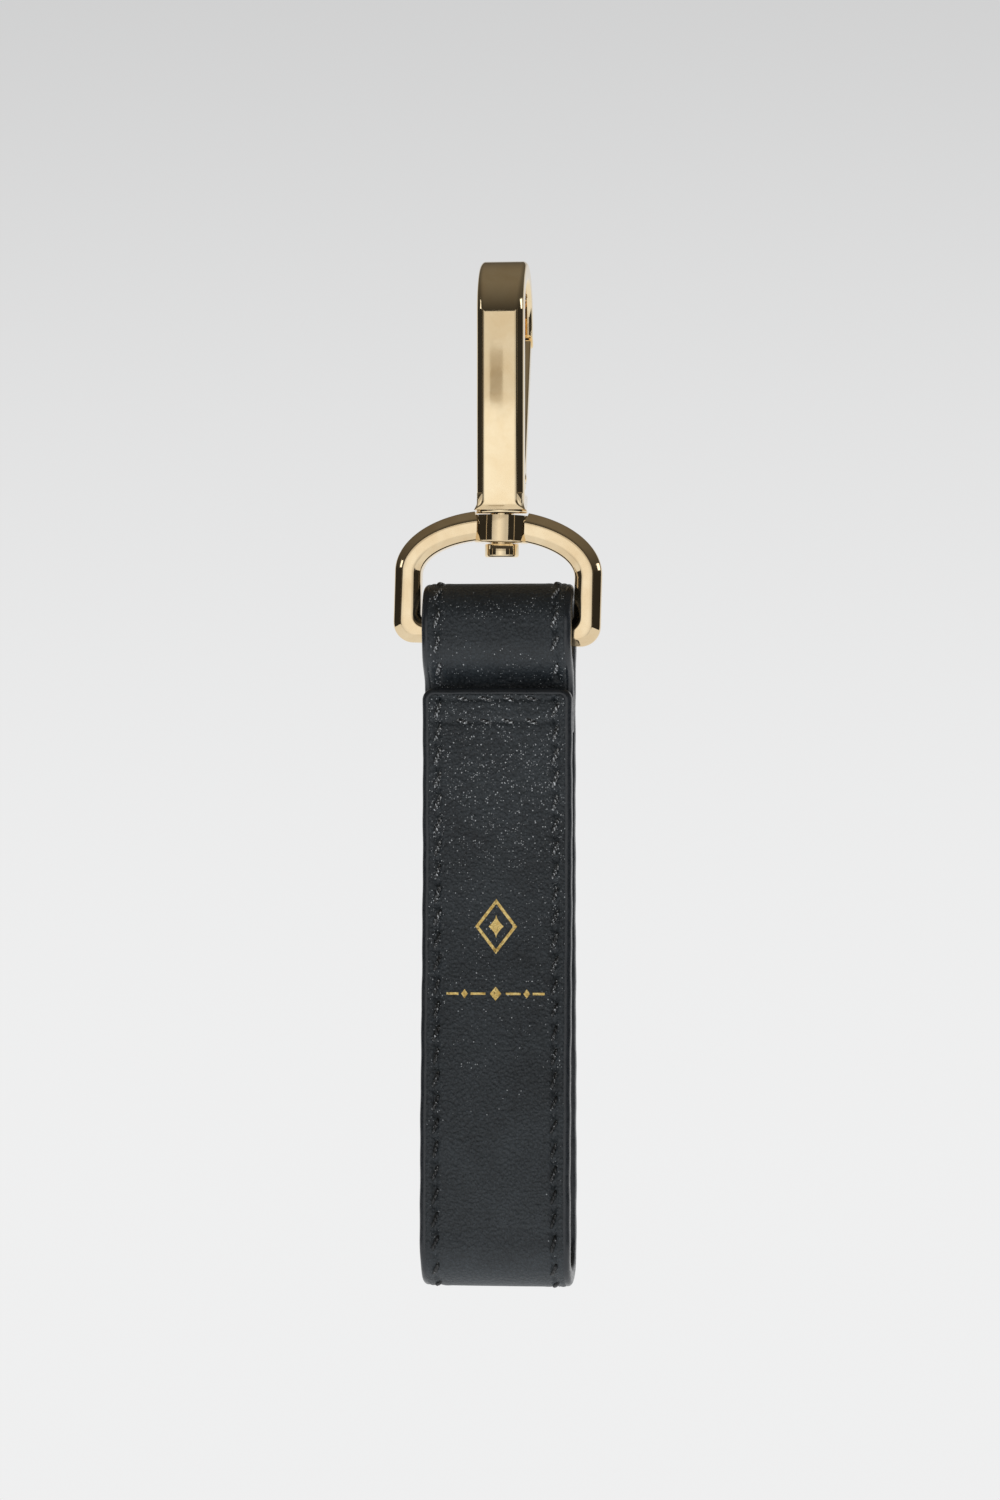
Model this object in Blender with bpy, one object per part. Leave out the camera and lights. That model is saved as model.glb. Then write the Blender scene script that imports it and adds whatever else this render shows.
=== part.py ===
"""Wristlet keychain: a spring-gate hook that swivels on a D-ring, and a sewn leather wrist strap.

Metres, +Z up, +X to the wearer's right of the strap, +Y towards the back of the hook.
The origin is the hanging point: the crown of the hook's throat, on the hook's middle plane.
Rivet, ring and strap are centred on the swivel axis, SWIVEL_Y in front of the origin.
"""

import math

import bmesh
import bpy
from mathutils import Vector

MM = 0.001

# Clearances
GAP = 0.3 * MM
RUNNING_GAP = 0.15 * MM

# Hook: a flat bar bent into a J, in the YZ plane
HOOK_WIDTH = 7.9 * MM
SPINE_DEPTH = 4.2 * MM
CROWN_DEPTH = 3.4 * MM
NOSE_DEPTH = 3.3 * MM
ARCH_RADIUS = 9.7 * MM
OUTER_CHAMFER = 1.12 * MM
INNER_CHAMFER = 0.5 * MM
NOSE_OUTER_END_Z = -10.9 * MM
NOSE_INNER_END_Z = -8.3 * MM
SPINE_END_Z = -39.1 * MM
ARCH_STEPS = 20

# Swivel: hook base, ring boss and the rivet that joins them
SWIVEL_TO_SPINE_FACE = 4.0 * MM
BASE_BOTTOM_Z = -39.6 * MM
BASE_FLANGE_RADIUS = 4.3 * MM
BASE_FLANGE_TOP_Z = -38.2 * MM
BASE_BLOCK_TOP_Z = -36.2 * MM
BASE_BLOCK_BOTTOM_Z = -38.95 * MM
BASE_BLOCK_HALF_WIDTH = 3.85 * MM
BASE_BLOCK_FRONT = 3.9 * MM
BASE_BLOCK_BACK = 5.3 * MM
BOSS_TOP_Z = -39.95 * MM
BOSS_BOTTOM_Z = -44.55 * MM
BOSS_RADIUS = 4.6 * MM
FLANGE_CLEARANCE = 0.35 * MM
SHANK_RADIUS = 1.9 * MM
SHANK_TOP_Z = -36.95 * MM
RIVET_HEAD_RADIUS = 2.85 * MM
RIVET_HEAD_TOP_Z = -44.72 * MM
RIVET_HEAD_BOTTOM_Z = -46.95 * MM

# Gate: a lever that closes the throat and pivots on a pin behind the spine
PIN_BEHIND_SWIVEL = 3.2 * MM
PIN_Z = -33.5 * MM
PIN_RADIUS = 0.8 * MM
PIN_HALF_LENGTH = 3.9 * MM
GATE_HALF_WIDTH = 3.7 * MM
GATE_HALF_THICKNESS = 1.25 * MM
GATE_EYE_RADIUS = 2.05 * MM
GATE_SLOT_HALF_WIDTH = 2.55 * MM
GATE_SLOT_REACH = 4.8 * MM
LUG_OUTER_HALF_WIDTH = 2.25 * MM
LUG_INNER_HALF_WIDTH = 1.15 * MM
LUG_RADIUS = 1.95 * MM

# Gate spring: a torsion coil on the pin between the two lugs
SPRING_WIRE_RADIUS = 0.2 * MM
SPRING_COIL_RADIUS = 1.35 * MM
SPRING_TURNS = 3
SPRING_PITCH = 0.48 * MM
SPRING_LEG = 5.2 * MM

# D-ring, in the XZ plane, hanging a little askew on its rivet
RING_CENTRE_X = -0.35 * MM
RING_OUTER_HALF_WIDTH = 17.45 * MM
RING_INNER_HALF_WIDTH = 12.95 * MM
RING_OUTER_RISE = 10.6 * MM
RING_INNER_RISE = 6.1 * MM
RING_OUTER_SPRING_Z = -49.6 * MM
RING_INNER_SPRING_Z = -50.1 * MM
RING_BOTTOM_Z = -61.6 * MM
RING_BAR_TOP_Z = -57.7 * MM
RING_OUTER_CORNER = 3.4 * MM
RING_INNER_CORNER = 1.2 * MM
RING_HALF_DEPTH = 2.35 * MM
RING_CHAMFER = 1.4 * MM
RING_INNER_BEVEL_WIDTH = 1.3 * MM
RING_INNER_BEVEL_DEPTH = 0.65 * MM
RING_TILT = math.radians(1.6)
RING_ARCH_STEPS = 26
CORNER_STEPS = 4

# Strap: one band of two plies, from its front end down, round the wrist loop's fold, up the back,
# over the ring's bar and down between the two layers
STRAP_WIDTH = 25.0 * MM
STRAP_CENTRE_X = -0.4 * MM
PLY_THICKNESS = 1.35 * MM
PLY_MIDDLE = 0.5 * GAP + 0.5 * PLY_THICKNESS
STRAP_HALF_THICKNESS = 0.5 * GAP + PLY_THICKNESS
STACK_STEP = 2 * STRAP_HALF_THICKNESS + GAP
FRONT_END_Z = -68.9 * MM
TUCKED_END_Z = -76.5 * MM
LAYERS_PART_Z = -90.0 * MM
FOLD_RADIUS = 6.3 * MM
FOLD_CENTRE_Y = -1.1 * MM
FOLD_CENTRE_Z = -161.15 * MM
WRAP_RADIUS = 4.9 * MM
WRAP_CENTRE_Z = -57.8 * MM
WRAP_END_Z = -60.1 * MM
END_CORNER = 2.0 * MM
EDGE_EASE = 0.35 * MM

# Thread and foil on the strap
SEAM_INSET = 2.65 * MM
THREAD_HALF_WIDTH = 0.25 * MM
THREAD_HALF_HEIGHT = 0.15 * MM
ROW_HALF_LENGTH = 8.8 * MM
ROW_ZS = (-70.7 * MM, -74.5 * MM)
FOIL_THICKNESS = 0.15 * MM
LOZENGE_Z = -108.7 * MM
LOZENGE_HALF_HEIGHT = 4.6 * MM
LOZENGE_HALF_WIDTH = 3.4 * MM
LOZENGE_LINE = 0.55 * MM
RULE_Z = -119.9 * MM
RULE_HALF_LENGTH = 8.2 * MM
RULE_HALF_HEIGHT = 0.25 * MM

# Derived places
ARCH_CENTRE_Z = CROWN_DEPTH - ARCH_RADIUS
INNER_FRONT_Y = -0.5 * (2 * ARCH_RADIUS - SPINE_DEPTH - NOSE_DEPTH)
SPINE_FACE_Y = INNER_FRONT_Y - SPINE_DEPTH
SWIVEL_Y = SPINE_FACE_Y + SWIVEL_TO_SPINE_FACE
PIN_Y = SWIVEL_Y + PIN_BEHIND_SWIVEL
BAR_Z = 0.5 * (RING_BAR_TOP_Z + RING_BOTTOM_Z)

GOLD = ("gold_plate", (0.83, 0.60, 0.33), 0.12, 1.0)
STEEL = ("spring_steel", (0.55, 0.54, 0.52), 0.3, 1.0)
FACE_LEATHER = ("black_leather", (0.035, 0.040, 0.046), 0.45, 0.0)
LINING_LEATHER = ("black_lining", (0.030, 0.033, 0.038), 0.6, 0.0)
THREAD = ("black_thread", (0.02, 0.02, 0.024), 0.5, 0.0)
FOIL = ("gold_foil", (0.80, 0.62, 0.28), 0.25, 1.0)


# ---------------------------------------------------------------- helpers

def clear_scene():
    """Removes every object that the file opened with."""
    for old in list(bpy.data.objects):
        bpy.data.objects.remove(old, do_unlink=True)


def material(spec):
    """The Principled material of a (name, colour, roughness, metallic) finish, made once."""
    name, colour, roughness, metallic = spec
    made = bpy.data.materials.get(name)
    if made is None:
        made = bpy.data.materials.new(name)
        made.use_nodes = True
        shader = made.node_tree.nodes["Principled BSDF"]
        shader.inputs["Base Color"].default_value = (*colour, 1.0)
        shader.inputs["Roughness"].default_value = roughness
        shader.inputs["Metallic"].default_value = metallic
    return made


def add_object(name, bm, spec, origin=(0, 0, 0), smooth_below=math.radians(32)):
    """Links a bmesh, given in the object's own space, as a smooth-shaded object at its origin."""
    bmesh.ops.recalc_face_normals(bm, faces=bm.faces)
    mesh = bpy.data.meshes.new(name)
    bm.to_mesh(mesh)
    bm.free()
    mesh.shade_smooth()
    mesh.set_sharp_from_angle(angle=smooth_below)
    obj = bpy.data.objects.new(name, mesh)
    obj.location = origin
    obj.data.materials.append(material(spec))
    bpy.context.scene.collection.objects.link(obj)
    return obj


def combine(target, tool, operation):
    """Adds a Boolean that joins the tool to the target or cuts it away, and hides the tool."""
    tool.hide_render = True
    tool.display_type = "WIRE"
    step = target.modifiers.new(f"{operation.lower()} {tool.name}", "BOOLEAN")
    step.operation = operation
    step.solver = "EXACT"
    step.object = tool


def loft(rings, closed=False):
    """A bmesh skin through rings of the same number of points, capped unless the rings close up."""
    bm = bmesh.new()
    loops = [[bm.verts.new(point) for point in ring] for ring in rings]
    pairs = list(zip(loops, loops[1:]))
    if closed:
        pairs.append((loops[-1], loops[0]))
    for first, second in pairs:
        count = len(first)
        for i in range(count):
            j = (i + 1) % count
            bm.faces.new((first[i], first[j], second[j], second[i]))
    if not closed:
        bm.faces.new(loops[0])
        bm.faces.new(loops[-1])
    return bm


def turned(profile, segments=32):
    """A solid turned about Z from (radius, z) points that run down its outer side."""
    rings = []
    for radius, z in profile:
        ring = []
        for i in range(segments):
            angle = 2 * math.pi * i / segments
            ring.append((radius * math.cos(angle), radius * math.sin(angle), z))
        rings.append(ring)
    return loft(rings)


def prism(outline, half_width):
    """A solid extruded along X, both ways, from a (y, z) outline."""
    return loft([[(side, y, z) for y, z in outline] for side in (-half_width, half_width)])


def arc(centre, radii, start, end, steps):
    """Points on an elliptic arc about a 2-D centre, both ends included."""
    points = []
    for i in range(steps + 1):
        angle = start + (end - start) * i / steps
        points.append((centre[0] + radii[0] * math.cos(angle), centre[1] + radii[1] * math.sin(angle)))
    return points


def bezier(start, start_handle, end_handle, end, steps):
    """Points on a 2-D cubic curve, both ends included."""
    points = []
    for i in range(steps + 1):
        t = i / steps
        weights = ((1 - t) ** 3, 3 * t * (1 - t) ** 2, 3 * t * t * (1 - t), t ** 3)
        corners = (start, start_handle, end_handle, end)
        points.append(tuple(sum(w * c[k] for w, c in zip(weights, corners)) for k in (0, 1)))
    return points


def tube(points, radius, sides):
    """A bmesh tube through 3-D points, each ring square to the path."""
    rings = []
    normal = None
    for i, point in enumerate(points):
        ahead = Vector(points[min(i + 1, len(points) - 1)])
        behind = Vector(points[max(i - 1, 0)])
        along = (ahead - behind).normalized()
        if normal is None:
            normal = along.orthogonal().normalized()
        normal = (normal - along * normal.dot(along)).normalized()
        across = along.cross(normal)
        ring = []
        for k in range(sides):
            angle = 2 * math.pi * k / sides
            ring.append(Vector(point) + radius * (math.cos(angle) * normal + math.sin(angle) * across))
        rings.append(ring)
    return loft(rings)


# ---------------------------------------------------------------- hook

def bar_section(outer, inner, chamfer):
    """The hook bar's eight-sided section between an outer and an inner (y, z) point."""
    outer = Vector(outer)
    inner = Vector(inner)
    inward = (inner - outer).normalized()
    half = 0.5 * HOOK_WIDTH
    outer_side = outer + chamfer * inward
    inner_side = inner - INNER_CHAMFER * inward
    corners = (
        (-half + chamfer, outer), (half - chamfer, outer),
        (half, outer_side), (half, inner_side),
        (half - INNER_CHAMFER, inner), (-half + INNER_CHAMFER, inner),
        (-half, inner_side), (-half, outer_side),
    )
    return [(x, p[0], p[1]) for x, p in corners]


def hook_bar():
    """The J: spine, arch and nose, with the front face widening where the spine meets the base."""
    flare = ((SPINE_END_Z, 0.15), (-38.6 * MM, 0.45), (-38.1 * MM, 0.85), (-37.6 * MM, 1.0))
    rings = []
    for z, share in flare:
        rings.append(bar_section((SPINE_FACE_Y, z), (INNER_FRONT_Y, z), share * OUTER_CHAMFER))
    outer_arc = arc((SPINE_FACE_Y + ARCH_RADIUS, ARCH_CENTRE_Z), (ARCH_RADIUS, ARCH_RADIUS),
                    math.pi, 0, ARCH_STEPS)
    inner_arc = arc((0, ARCH_CENTRE_Z), (-INNER_FRONT_Y, -ARCH_CENTRE_Z), math.pi, 0, ARCH_STEPS)
    for outer, inner in zip(outer_arc, inner_arc):
        rings.append(bar_section(outer, inner, OUTER_CHAMFER))
    nose_outer = (outer_arc[-1][0], NOSE_OUTER_END_Z)
    nose_inner = (inner_arc[-1][0], NOSE_INNER_END_Z)
    rings.append(bar_section(nose_outer, nose_inner, OUTER_CHAMFER))
    return loft(rings)


def build_hook():
    """Hook body: the J, a round base flange, a base block and two lugs for the gate's pin."""
    hook = add_object("hook_body", hook_bar(), GOLD)
    flange = add_object("hook_flange", turned((
        (3.7 * MM, BASE_FLANGE_TOP_Z), (BASE_FLANGE_RADIUS, BASE_FLANGE_TOP_Z - 0.5 * MM),
        (BASE_FLANGE_RADIUS, BASE_BOTTOM_Z + 0.2 * MM), (BASE_FLANGE_RADIUS - 0.2 * MM, BASE_BOTTOM_Z),
    )), GOLD, (0, SWIVEL_Y, 0))
    block_outline = (
        (SWIVEL_Y - BASE_BLOCK_FRONT, BASE_BLOCK_TOP_Z),
        (SWIVEL_Y - BASE_BLOCK_FRONT, BASE_BLOCK_BOTTOM_Z),
        (SWIVEL_Y + 4.1 * MM, BASE_BLOCK_BOTTOM_Z),
        (SWIVEL_Y + BASE_BLOCK_BACK, BASE_BLOCK_TOP_Z - 1.2 * MM),
        (SWIVEL_Y + BASE_BLOCK_BACK, BASE_BLOCK_TOP_Z - 0.4 * MM),
        (SWIVEL_Y + BASE_BLOCK_BACK - 0.4 * MM, BASE_BLOCK_TOP_Z),
    )
    block = add_object("hook_base_block", prism(block_outline, BASE_BLOCK_HALF_WIDTH), GOLD)
    lug_outline = arc((PIN_Y, PIN_Z), (LUG_RADIUS, LUG_RADIUS), 0, math.pi, 12)
    lug_outline.append((PIN_Y - LUG_RADIUS, BASE_BLOCK_TOP_Z - 0.6 * MM))
    lug_outline.append((PIN_Y + LUG_RADIUS, BASE_BLOCK_TOP_Z - 0.6 * MM))
    lugs = add_object("hook_lugs", prism(lug_outline, LUG_OUTER_HALF_WIDTH), GOLD)
    slot_outline = (
        (INNER_FRONT_Y + 0.05 * MM, PIN_Z + 3 * MM), (PIN_Y + 4 * MM, PIN_Z + 3 * MM),
        (PIN_Y + 4 * MM, BASE_BLOCK_TOP_Z + 0.1 * MM), (INNER_FRONT_Y + 0.05 * MM, BASE_BLOCK_TOP_Z + 0.1 * MM),
    )
    slot = add_object("lug_slot_cutter", prism(slot_outline, LUG_INNER_HALF_WIDTH), GOLD)
    bore = add_object("pin_bore_cutter", turned((
        (PIN_RADIUS + RUNNING_GAP, 3 * MM), (PIN_RADIUS + RUNNING_GAP, -3 * MM),
    ), 24), GOLD, (0, PIN_Y, PIN_Z))
    bore.rotation_euler = (0, math.pi / 2, 0)
    shank_bore = add_object("shank_bore_cutter", turned((
        (SHANK_RADIUS + RUNNING_GAP, SHANK_TOP_Z + GAP), (SHANK_RADIUS + RUNNING_GAP, BASE_BOTTOM_Z - 1 * MM),
    )), GOLD, (0, SWIVEL_Y, 0))
    for piece in (flange, block, lugs):
        combine(hook, piece, "UNION")
    for cutter in (slot, bore, shank_bore):
        combine(hook, cutter, "DIFFERENCE")


# ---------------------------------------------------------------- gate

def gate_axis():
    """Unit (y, z) vectors along the closed gate, pin to nose, and square to it, towards the back."""
    nose_y = SPINE_FACE_Y + 2 * ARCH_RADIUS - 0.5 * NOSE_DEPTH
    nose_z = 0.5 * (NOSE_OUTER_END_Z + NOSE_INNER_END_Z)
    along = (Vector((nose_y, nose_z)) - Vector((PIN_Y, PIN_Z))).normalized()
    return along, Vector((along[1], -along[0]))


def gate_outline():
    """The gate's side outline about its pin: a round eye, two straight faces and the slanted tip."""
    along, back = gate_axis()
    cut_outer = Vector((SPINE_FACE_Y + 2 * ARCH_RADIUS, NOSE_OUTER_END_Z))
    cut_inner = Vector((SPINE_FACE_Y + 2 * ARCH_RADIUS - NOSE_DEPTH, NOSE_INNER_END_Z))
    cut = (cut_inner - cut_outer).normalized()
    away = Vector((cut[1], -cut[0]))
    if away.dot(along) > 0:
        away = -away
    start = cut_outer + GAP * away - Vector((PIN_Y, PIN_Z))

    def tip(offset):
        """Where the face at this offset from the gate's axis meets the slanted tip line."""
        reach = (offset - start.dot(back)) / cut.dot(back)
        return start + reach * cut

    turn = math.atan2(back[1], back[0])
    eye = arc((0, 0), (GATE_EYE_RADIUS, GATE_EYE_RADIUS), turn, turn - math.pi, 14)
    waist = 4.0 * MM
    points = [Vector(p) for p in eye]
    points.append(waist * along - GATE_HALF_THICKNESS * back)
    points.append(tip(-GATE_HALF_THICKNESS))
    points.append(tip(GATE_HALF_THICKNESS))
    points.append(waist * along + GATE_HALF_THICKNESS * back)
    return [(p[0], p[1]) for p in points]


def build_gate():
    """Gate lever, forked round the lugs; its pin; and the torsion coil between the lugs."""
    along, back = gate_axis()
    gate = add_object("gate", prism(gate_outline(), GATE_HALF_WIDTH), GOLD, (0, PIN_Y, PIN_Z))
    bevel = gate.modifiers.new("eased edges", "BEVEL")
    bevel.width = 0.3 * MM
    bevel.segments = 1
    bevel.limit_method = "ANGLE"
    bevel.angle_limit = math.radians(50)
    reach = GATE_SLOT_REACH * along
    wide = 3.2 * MM * back
    low = -3.0 * MM * along
    slot_outline = [(p[0], p[1]) for p in (low - wide, reach - wide, reach + wide, low + wide)]
    slot = add_object("gate_slot_cutter", prism(slot_outline, GATE_SLOT_HALF_WIDTH), GOLD, (0, PIN_Y, PIN_Z))
    hole = add_object("gate_hole_cutter", turned((
        (PIN_RADIUS + RUNNING_GAP, 5 * MM), (PIN_RADIUS + RUNNING_GAP, -5 * MM),
    ), 24), GOLD, (0, PIN_Y, PIN_Z))
    hole.rotation_euler = (0, math.pi / 2, 0)
    combine(gate, slot, "DIFFERENCE")
    combine(gate, hole, "DIFFERENCE")

    end = PIN_HALF_LENGTH
    ease = 0.15 * MM
    pin = add_object("gate_pin", turned((
        (PIN_RADIUS - ease, end), (PIN_RADIUS, end - ease),
        (PIN_RADIUS, ease - end), (PIN_RADIUS - ease, -end),
    ), 20), GOLD, (0, PIN_Y, PIN_Z))
    pin.rotation_euler = (0, math.pi / 2, 0)

    add_object("gate_spring", spring_coil(along, back), STEEL, (0, PIN_Y, PIN_Z))


def spring_coil(along, back):
    """Torsion coil about X with one leg along the gate's inner face and one towards the spine."""
    start_angle = math.atan2(-back[1], -back[0])
    end_angle = math.pi
    sweep = 2 * math.pi * SPRING_TURNS + (end_angle - start_angle)
    steps = 14 * SPRING_TURNS
    half_run = 0.5 * SPRING_TURNS * SPRING_PITCH
    gate_leg = SPRING_LEG * along - (GATE_HALF_THICKNESS + GAP + 2 * SPRING_WIRE_RADIUS) * back
    points = [(-half_run, gate_leg[0], gate_leg[1])]
    for i in range(steps + 1):
        angle = start_angle + sweep * i / steps
        x = -half_run + 2 * half_run * i / steps
        points.append((x, SPRING_COIL_RADIUS * math.cos(angle), SPRING_COIL_RADIUS * math.sin(angle)))
    spine_side = INNER_FRONT_Y - PIN_Y + GAP + 2 * SPRING_WIRE_RADIUS
    points.append((half_run, spine_side, SPRING_LEG))
    return tube(points, SPRING_WIRE_RADIUS, 6)


# ---------------------------------------------------------------- swivel

def build_rivet():
    """Swivel rivet: a low round head under the ring's boss and a shank up into the hook's base."""
    ease = 0.4 * MM
    profile = [
        (SHANK_RADIUS - 0.2 * MM, SHANK_TOP_Z), (SHANK_RADIUS, SHANK_TOP_Z - 0.2 * MM),
        (SHANK_RADIUS, RIVET_HEAD_TOP_Z), (RIVET_HEAD_RADIUS, RIVET_HEAD_TOP_Z),
    ]
    for radius, z in arc((RIVET_HEAD_RADIUS - ease, RIVET_HEAD_BOTTOM_Z + ease), (ease, ease), 0, -math.pi / 2, 4):
        profile.append((radius, z))
    add_object("swivel_rivet", turned(profile), GOLD, (0, SWIVEL_Y, 0))


def ring_contours():
    """Matching outer and inner (x, z) outlines of the D, once round."""
    right_out = arc((RING_CENTRE_X, RING_OUTER_SPRING_Z), (RING_OUTER_HALF_WIDTH, RING_OUTER_RISE), math.pi, 0, RING_ARCH_STEPS)
    right_in = arc((RING_CENTRE_X, RING_INNER_SPRING_Z), (RING_INNER_HALF_WIDTH, RING_INNER_RISE), math.pi, 0, RING_ARCH_STEPS)
    outer = list(right_out)
    inner = list(right_in)
    for side, start in ((1, 0.0), (-1, -0.5 * math.pi)):
        turn = (start, start - 0.5 * math.pi)
        outer_x = RING_CENTRE_X + side * (RING_OUTER_HALF_WIDTH - RING_OUTER_CORNER)
        inner_x = RING_CENTRE_X + side * (RING_INNER_HALF_WIDTH - RING_INNER_CORNER)
        outer_centre = (outer_x, RING_BOTTOM_Z + RING_OUTER_CORNER)
        inner_centre = (inner_x, RING_BAR_TOP_Z + RING_INNER_CORNER)
        outer += arc(outer_centre, (RING_OUTER_CORNER, RING_OUTER_CORNER), turn[0], turn[1], CORNER_STEPS)
        inner += arc(inner_centre, (RING_INNER_CORNER, RING_INNER_CORNER), turn[0], turn[1], CORNER_STEPS)
    return outer, inner


def ring_section(outer, inner):
    """The ring's eight-sided section between an outer and an inner (x, z) point."""
    outer = Vector(outer)
    inner = Vector(inner)
    inward = (inner - outer).normalized()
    width = (inner - outer).length
    cut = min(RING_CHAMFER, 0.36 * width)
    depth = RING_HALF_DEPTH
    shoulder = depth - cut
    bevel = min(RING_INNER_BEVEL_WIDTH, 0.34 * width)
    inner_shoulder = depth - RING_INNER_BEVEL_DEPTH
    corners = (
        (outer + cut * inward, -depth), (inner - bevel * inward, -depth),
        (inner, -inner_shoulder), (inner, inner_shoulder),
        (inner - bevel * inward, depth), (outer + cut * inward, depth),
        (outer, shoulder), (outer, -shoulder),
    )
    return [(p[0], y, p[1]) for p, y in corners]


def build_ring():
    """D-ring with the bored boss that it swivels on."""
    outer, inner = ring_contours()
    rings = []
    for out_point, in_point in zip(outer, inner):
        rings.append(ring_section(out_point, in_point))
    pivot = Vector((0, SWIVEL_Y, 0.5 * (BOSS_TOP_Z + BOSS_BOTTOM_Z)))
    bm = loft(rings, closed=True)
    for vert in bm.verts:
        vert.co.z -= pivot.z
    ring = add_object("d_ring", bm, GOLD, pivot)
    half = 0.5 * (BOSS_TOP_Z - BOSS_BOTTOM_Z)
    ease = 0.35 * MM
    boss = add_object("boss_blank", turned((
        (BOSS_RADIUS - ease, half + ease), (BOSS_RADIUS, half),
        (BOSS_RADIUS, ease - half), (BOSS_RADIUS - ease, -half),
    )), GOLD, pivot)
    seat_radius = BASE_FLANGE_RADIUS + FLANGE_CLEARANCE
    seat = add_object("flange_seat_cutter", turned((
        (seat_radius, 2 * half), (seat_radius, half),
    )), GOLD, pivot)
    bore = add_object("boss_bore_cutter", turned((
        (SHANK_RADIUS + RUNNING_GAP, 2 * half), (SHANK_RADIUS + RUNNING_GAP, -2 * half),
    )), GOLD, pivot)
    for piece in (ring, boss, seat, bore):
        piece.rotation_euler = (0, RING_TILT, 0)
    combine(ring, boss, "UNION")
    combine(ring, seat, "DIFFERENCE")
    combine(ring, bore, "DIFFERENCE")


# ---------------------------------------------------------------- strap

def strap_line():
    """The band's middle line as (y, z) points, from its front end to its tucked end."""
    front_y = -STACK_STEP
    fold_front = (FOLD_CENTRE_Y - FOLD_RADIUS, FOLD_CENTRE_Z)
    fold_back = (FOLD_CENTRE_Y + FOLD_RADIUS, FOLD_CENTRE_Z)
    wrap_side_z = WRAP_CENTRE_Z - 0.4 * MM
    line = [(front_y, FRONT_END_Z - share * END_CORNER) for share in (0, 0.15, 0.5, 1.0)]
    line += [(front_y, -78 * MM), (front_y, LAYERS_PART_Z)]
    line += bezier((front_y, LAYERS_PART_Z), (front_y, -116 * MM),
                   (fold_front[0], -132 * MM), fold_front, 9)[1:]
    line += arc((FOLD_CENTRE_Y, FOLD_CENTRE_Z), (FOLD_RADIUS, FOLD_RADIUS), math.pi, 2 * math.pi, 14)[1:]
    line += bezier(fold_back, (fold_back[0], -134 * MM),
                   (STACK_STEP, -112 * MM), (STACK_STEP, LAYERS_PART_Z), 9)[1:]
    line += [(STACK_STEP, -78 * MM)]
    line += bezier((STACK_STEP, -69 * MM), (STACK_STEP, -65 * MM),
                   (WRAP_RADIUS, -62 * MM), (WRAP_RADIUS, wrap_side_z), 4)
    line += arc((0, WRAP_CENTRE_Z), (WRAP_RADIUS, WRAP_RADIUS), 0, math.pi, 12)
    line += bezier((-WRAP_RADIUS, WRAP_END_Z), (-WRAP_RADIUS, WRAP_END_Z - 6.0 * MM),
                   (0, WRAP_END_Z - 4.0 * MM), (0, WRAP_END_Z - 10.2 * MM), 8)
    line += [(0, TUCKED_END_Z)]
    return [(y + SWIVEL_Y, z) for y, z in line]


def side_step(line, i):
    """The unit (y, z) vector out of the loop at a point of the line."""
    ahead = Vector(line[min(i + 1, len(line) - 1)])
    behind = Vector(line[max(i - 1, 0)])
    along = (ahead - behind).normalized()
    return Vector((along[1], -along[0]))


def offset_line(line, distance):
    """The line moved out of the loop by a distance."""
    moved = []
    for i, point in enumerate(line):
        moved.append(tuple(Vector(point) + distance * side_step(line, i)))
    return moved


def ply(line, middle):
    """One ply's skin: a flat band with eased edges, its front end's corners rounded."""
    lower = offset_line(line, middle - 0.5 * PLY_THICKNESS)
    upper = offset_line(line, middle + 0.5 * PLY_THICKNESS)
    rings = []
    run = 0.0
    for i, (low, high) in enumerate(zip(lower, upper)):
        if i:
            run += (Vector(line[i]) - Vector(line[i - 1])).length
        rest = max(END_CORNER - run, 0.0)
        half = 0.5 * STRAP_WIDTH - END_CORNER + math.sqrt(END_CORNER ** 2 - rest ** 2)
        ease = EDGE_EASE
        low = Vector(low)
        high = Vector(high)
        across = (high - low).normalized()
        corners = (
            (-half + ease, low), (half - ease, low), (half, low + ease * across),
            (half, high - ease * across), (half - ease, high), (-half + ease, high),
            (-half, high - ease * across), (-half, low + ease * across),
        )
        rings.append([(x, p[0], p[1]) for x, p in corners])
    return loft(rings)


def strand(line, x, keep):
    """A flat thread strand along the points of the line that keep() accepts, at a distance along X."""
    low = THREAD_HALF_HEIGHT
    wide = THREAD_HALF_WIDTH
    rings = []
    for i, point in enumerate(line):
        if not keep(i, point):
            continue
        out = low * side_step(line, i)
        top = Vector(point) + out
        bottom = Vector(point) - out
        rings.append([
            (x - wide, bottom[0], bottom[1]), (x + wide, bottom[0], bottom[1]),
            (x + wide, top[0], top[1]), (x - wide, top[0], top[1]),
        ])
    return loft(rings)


def row_strand(z, side):
    """A thread row straight across the strap, in front (side -1) or behind it (side 1)."""
    y = side * (STACK_STEP + STRAP_HALF_THICKNESS + GAP + THREAD_HALF_HEIGHT) + SWIVEL_Y
    high = THREAD_HALF_WIDTH
    deep = THREAD_HALF_HEIGHT
    rings = []
    for x in (-ROW_HALF_LENGTH, ROW_HALF_LENGTH):
        rings.append([(x, y - deep, z - high), (x, y + deep, z - high), (x, y + deep, z + high), (x, y - deep, z + high)])
    return loft(rings)


def front_face_y(line, z):
    """The strap's front face at a height on its front layer."""
    for (y0, z0), (y1, z1) in zip(line, line[1:]):
        if z1 <= z <= z0:
            return y0 + (y1 - y0) * (z - z0) / (z1 - z0)
    return line[0][0]


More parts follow.
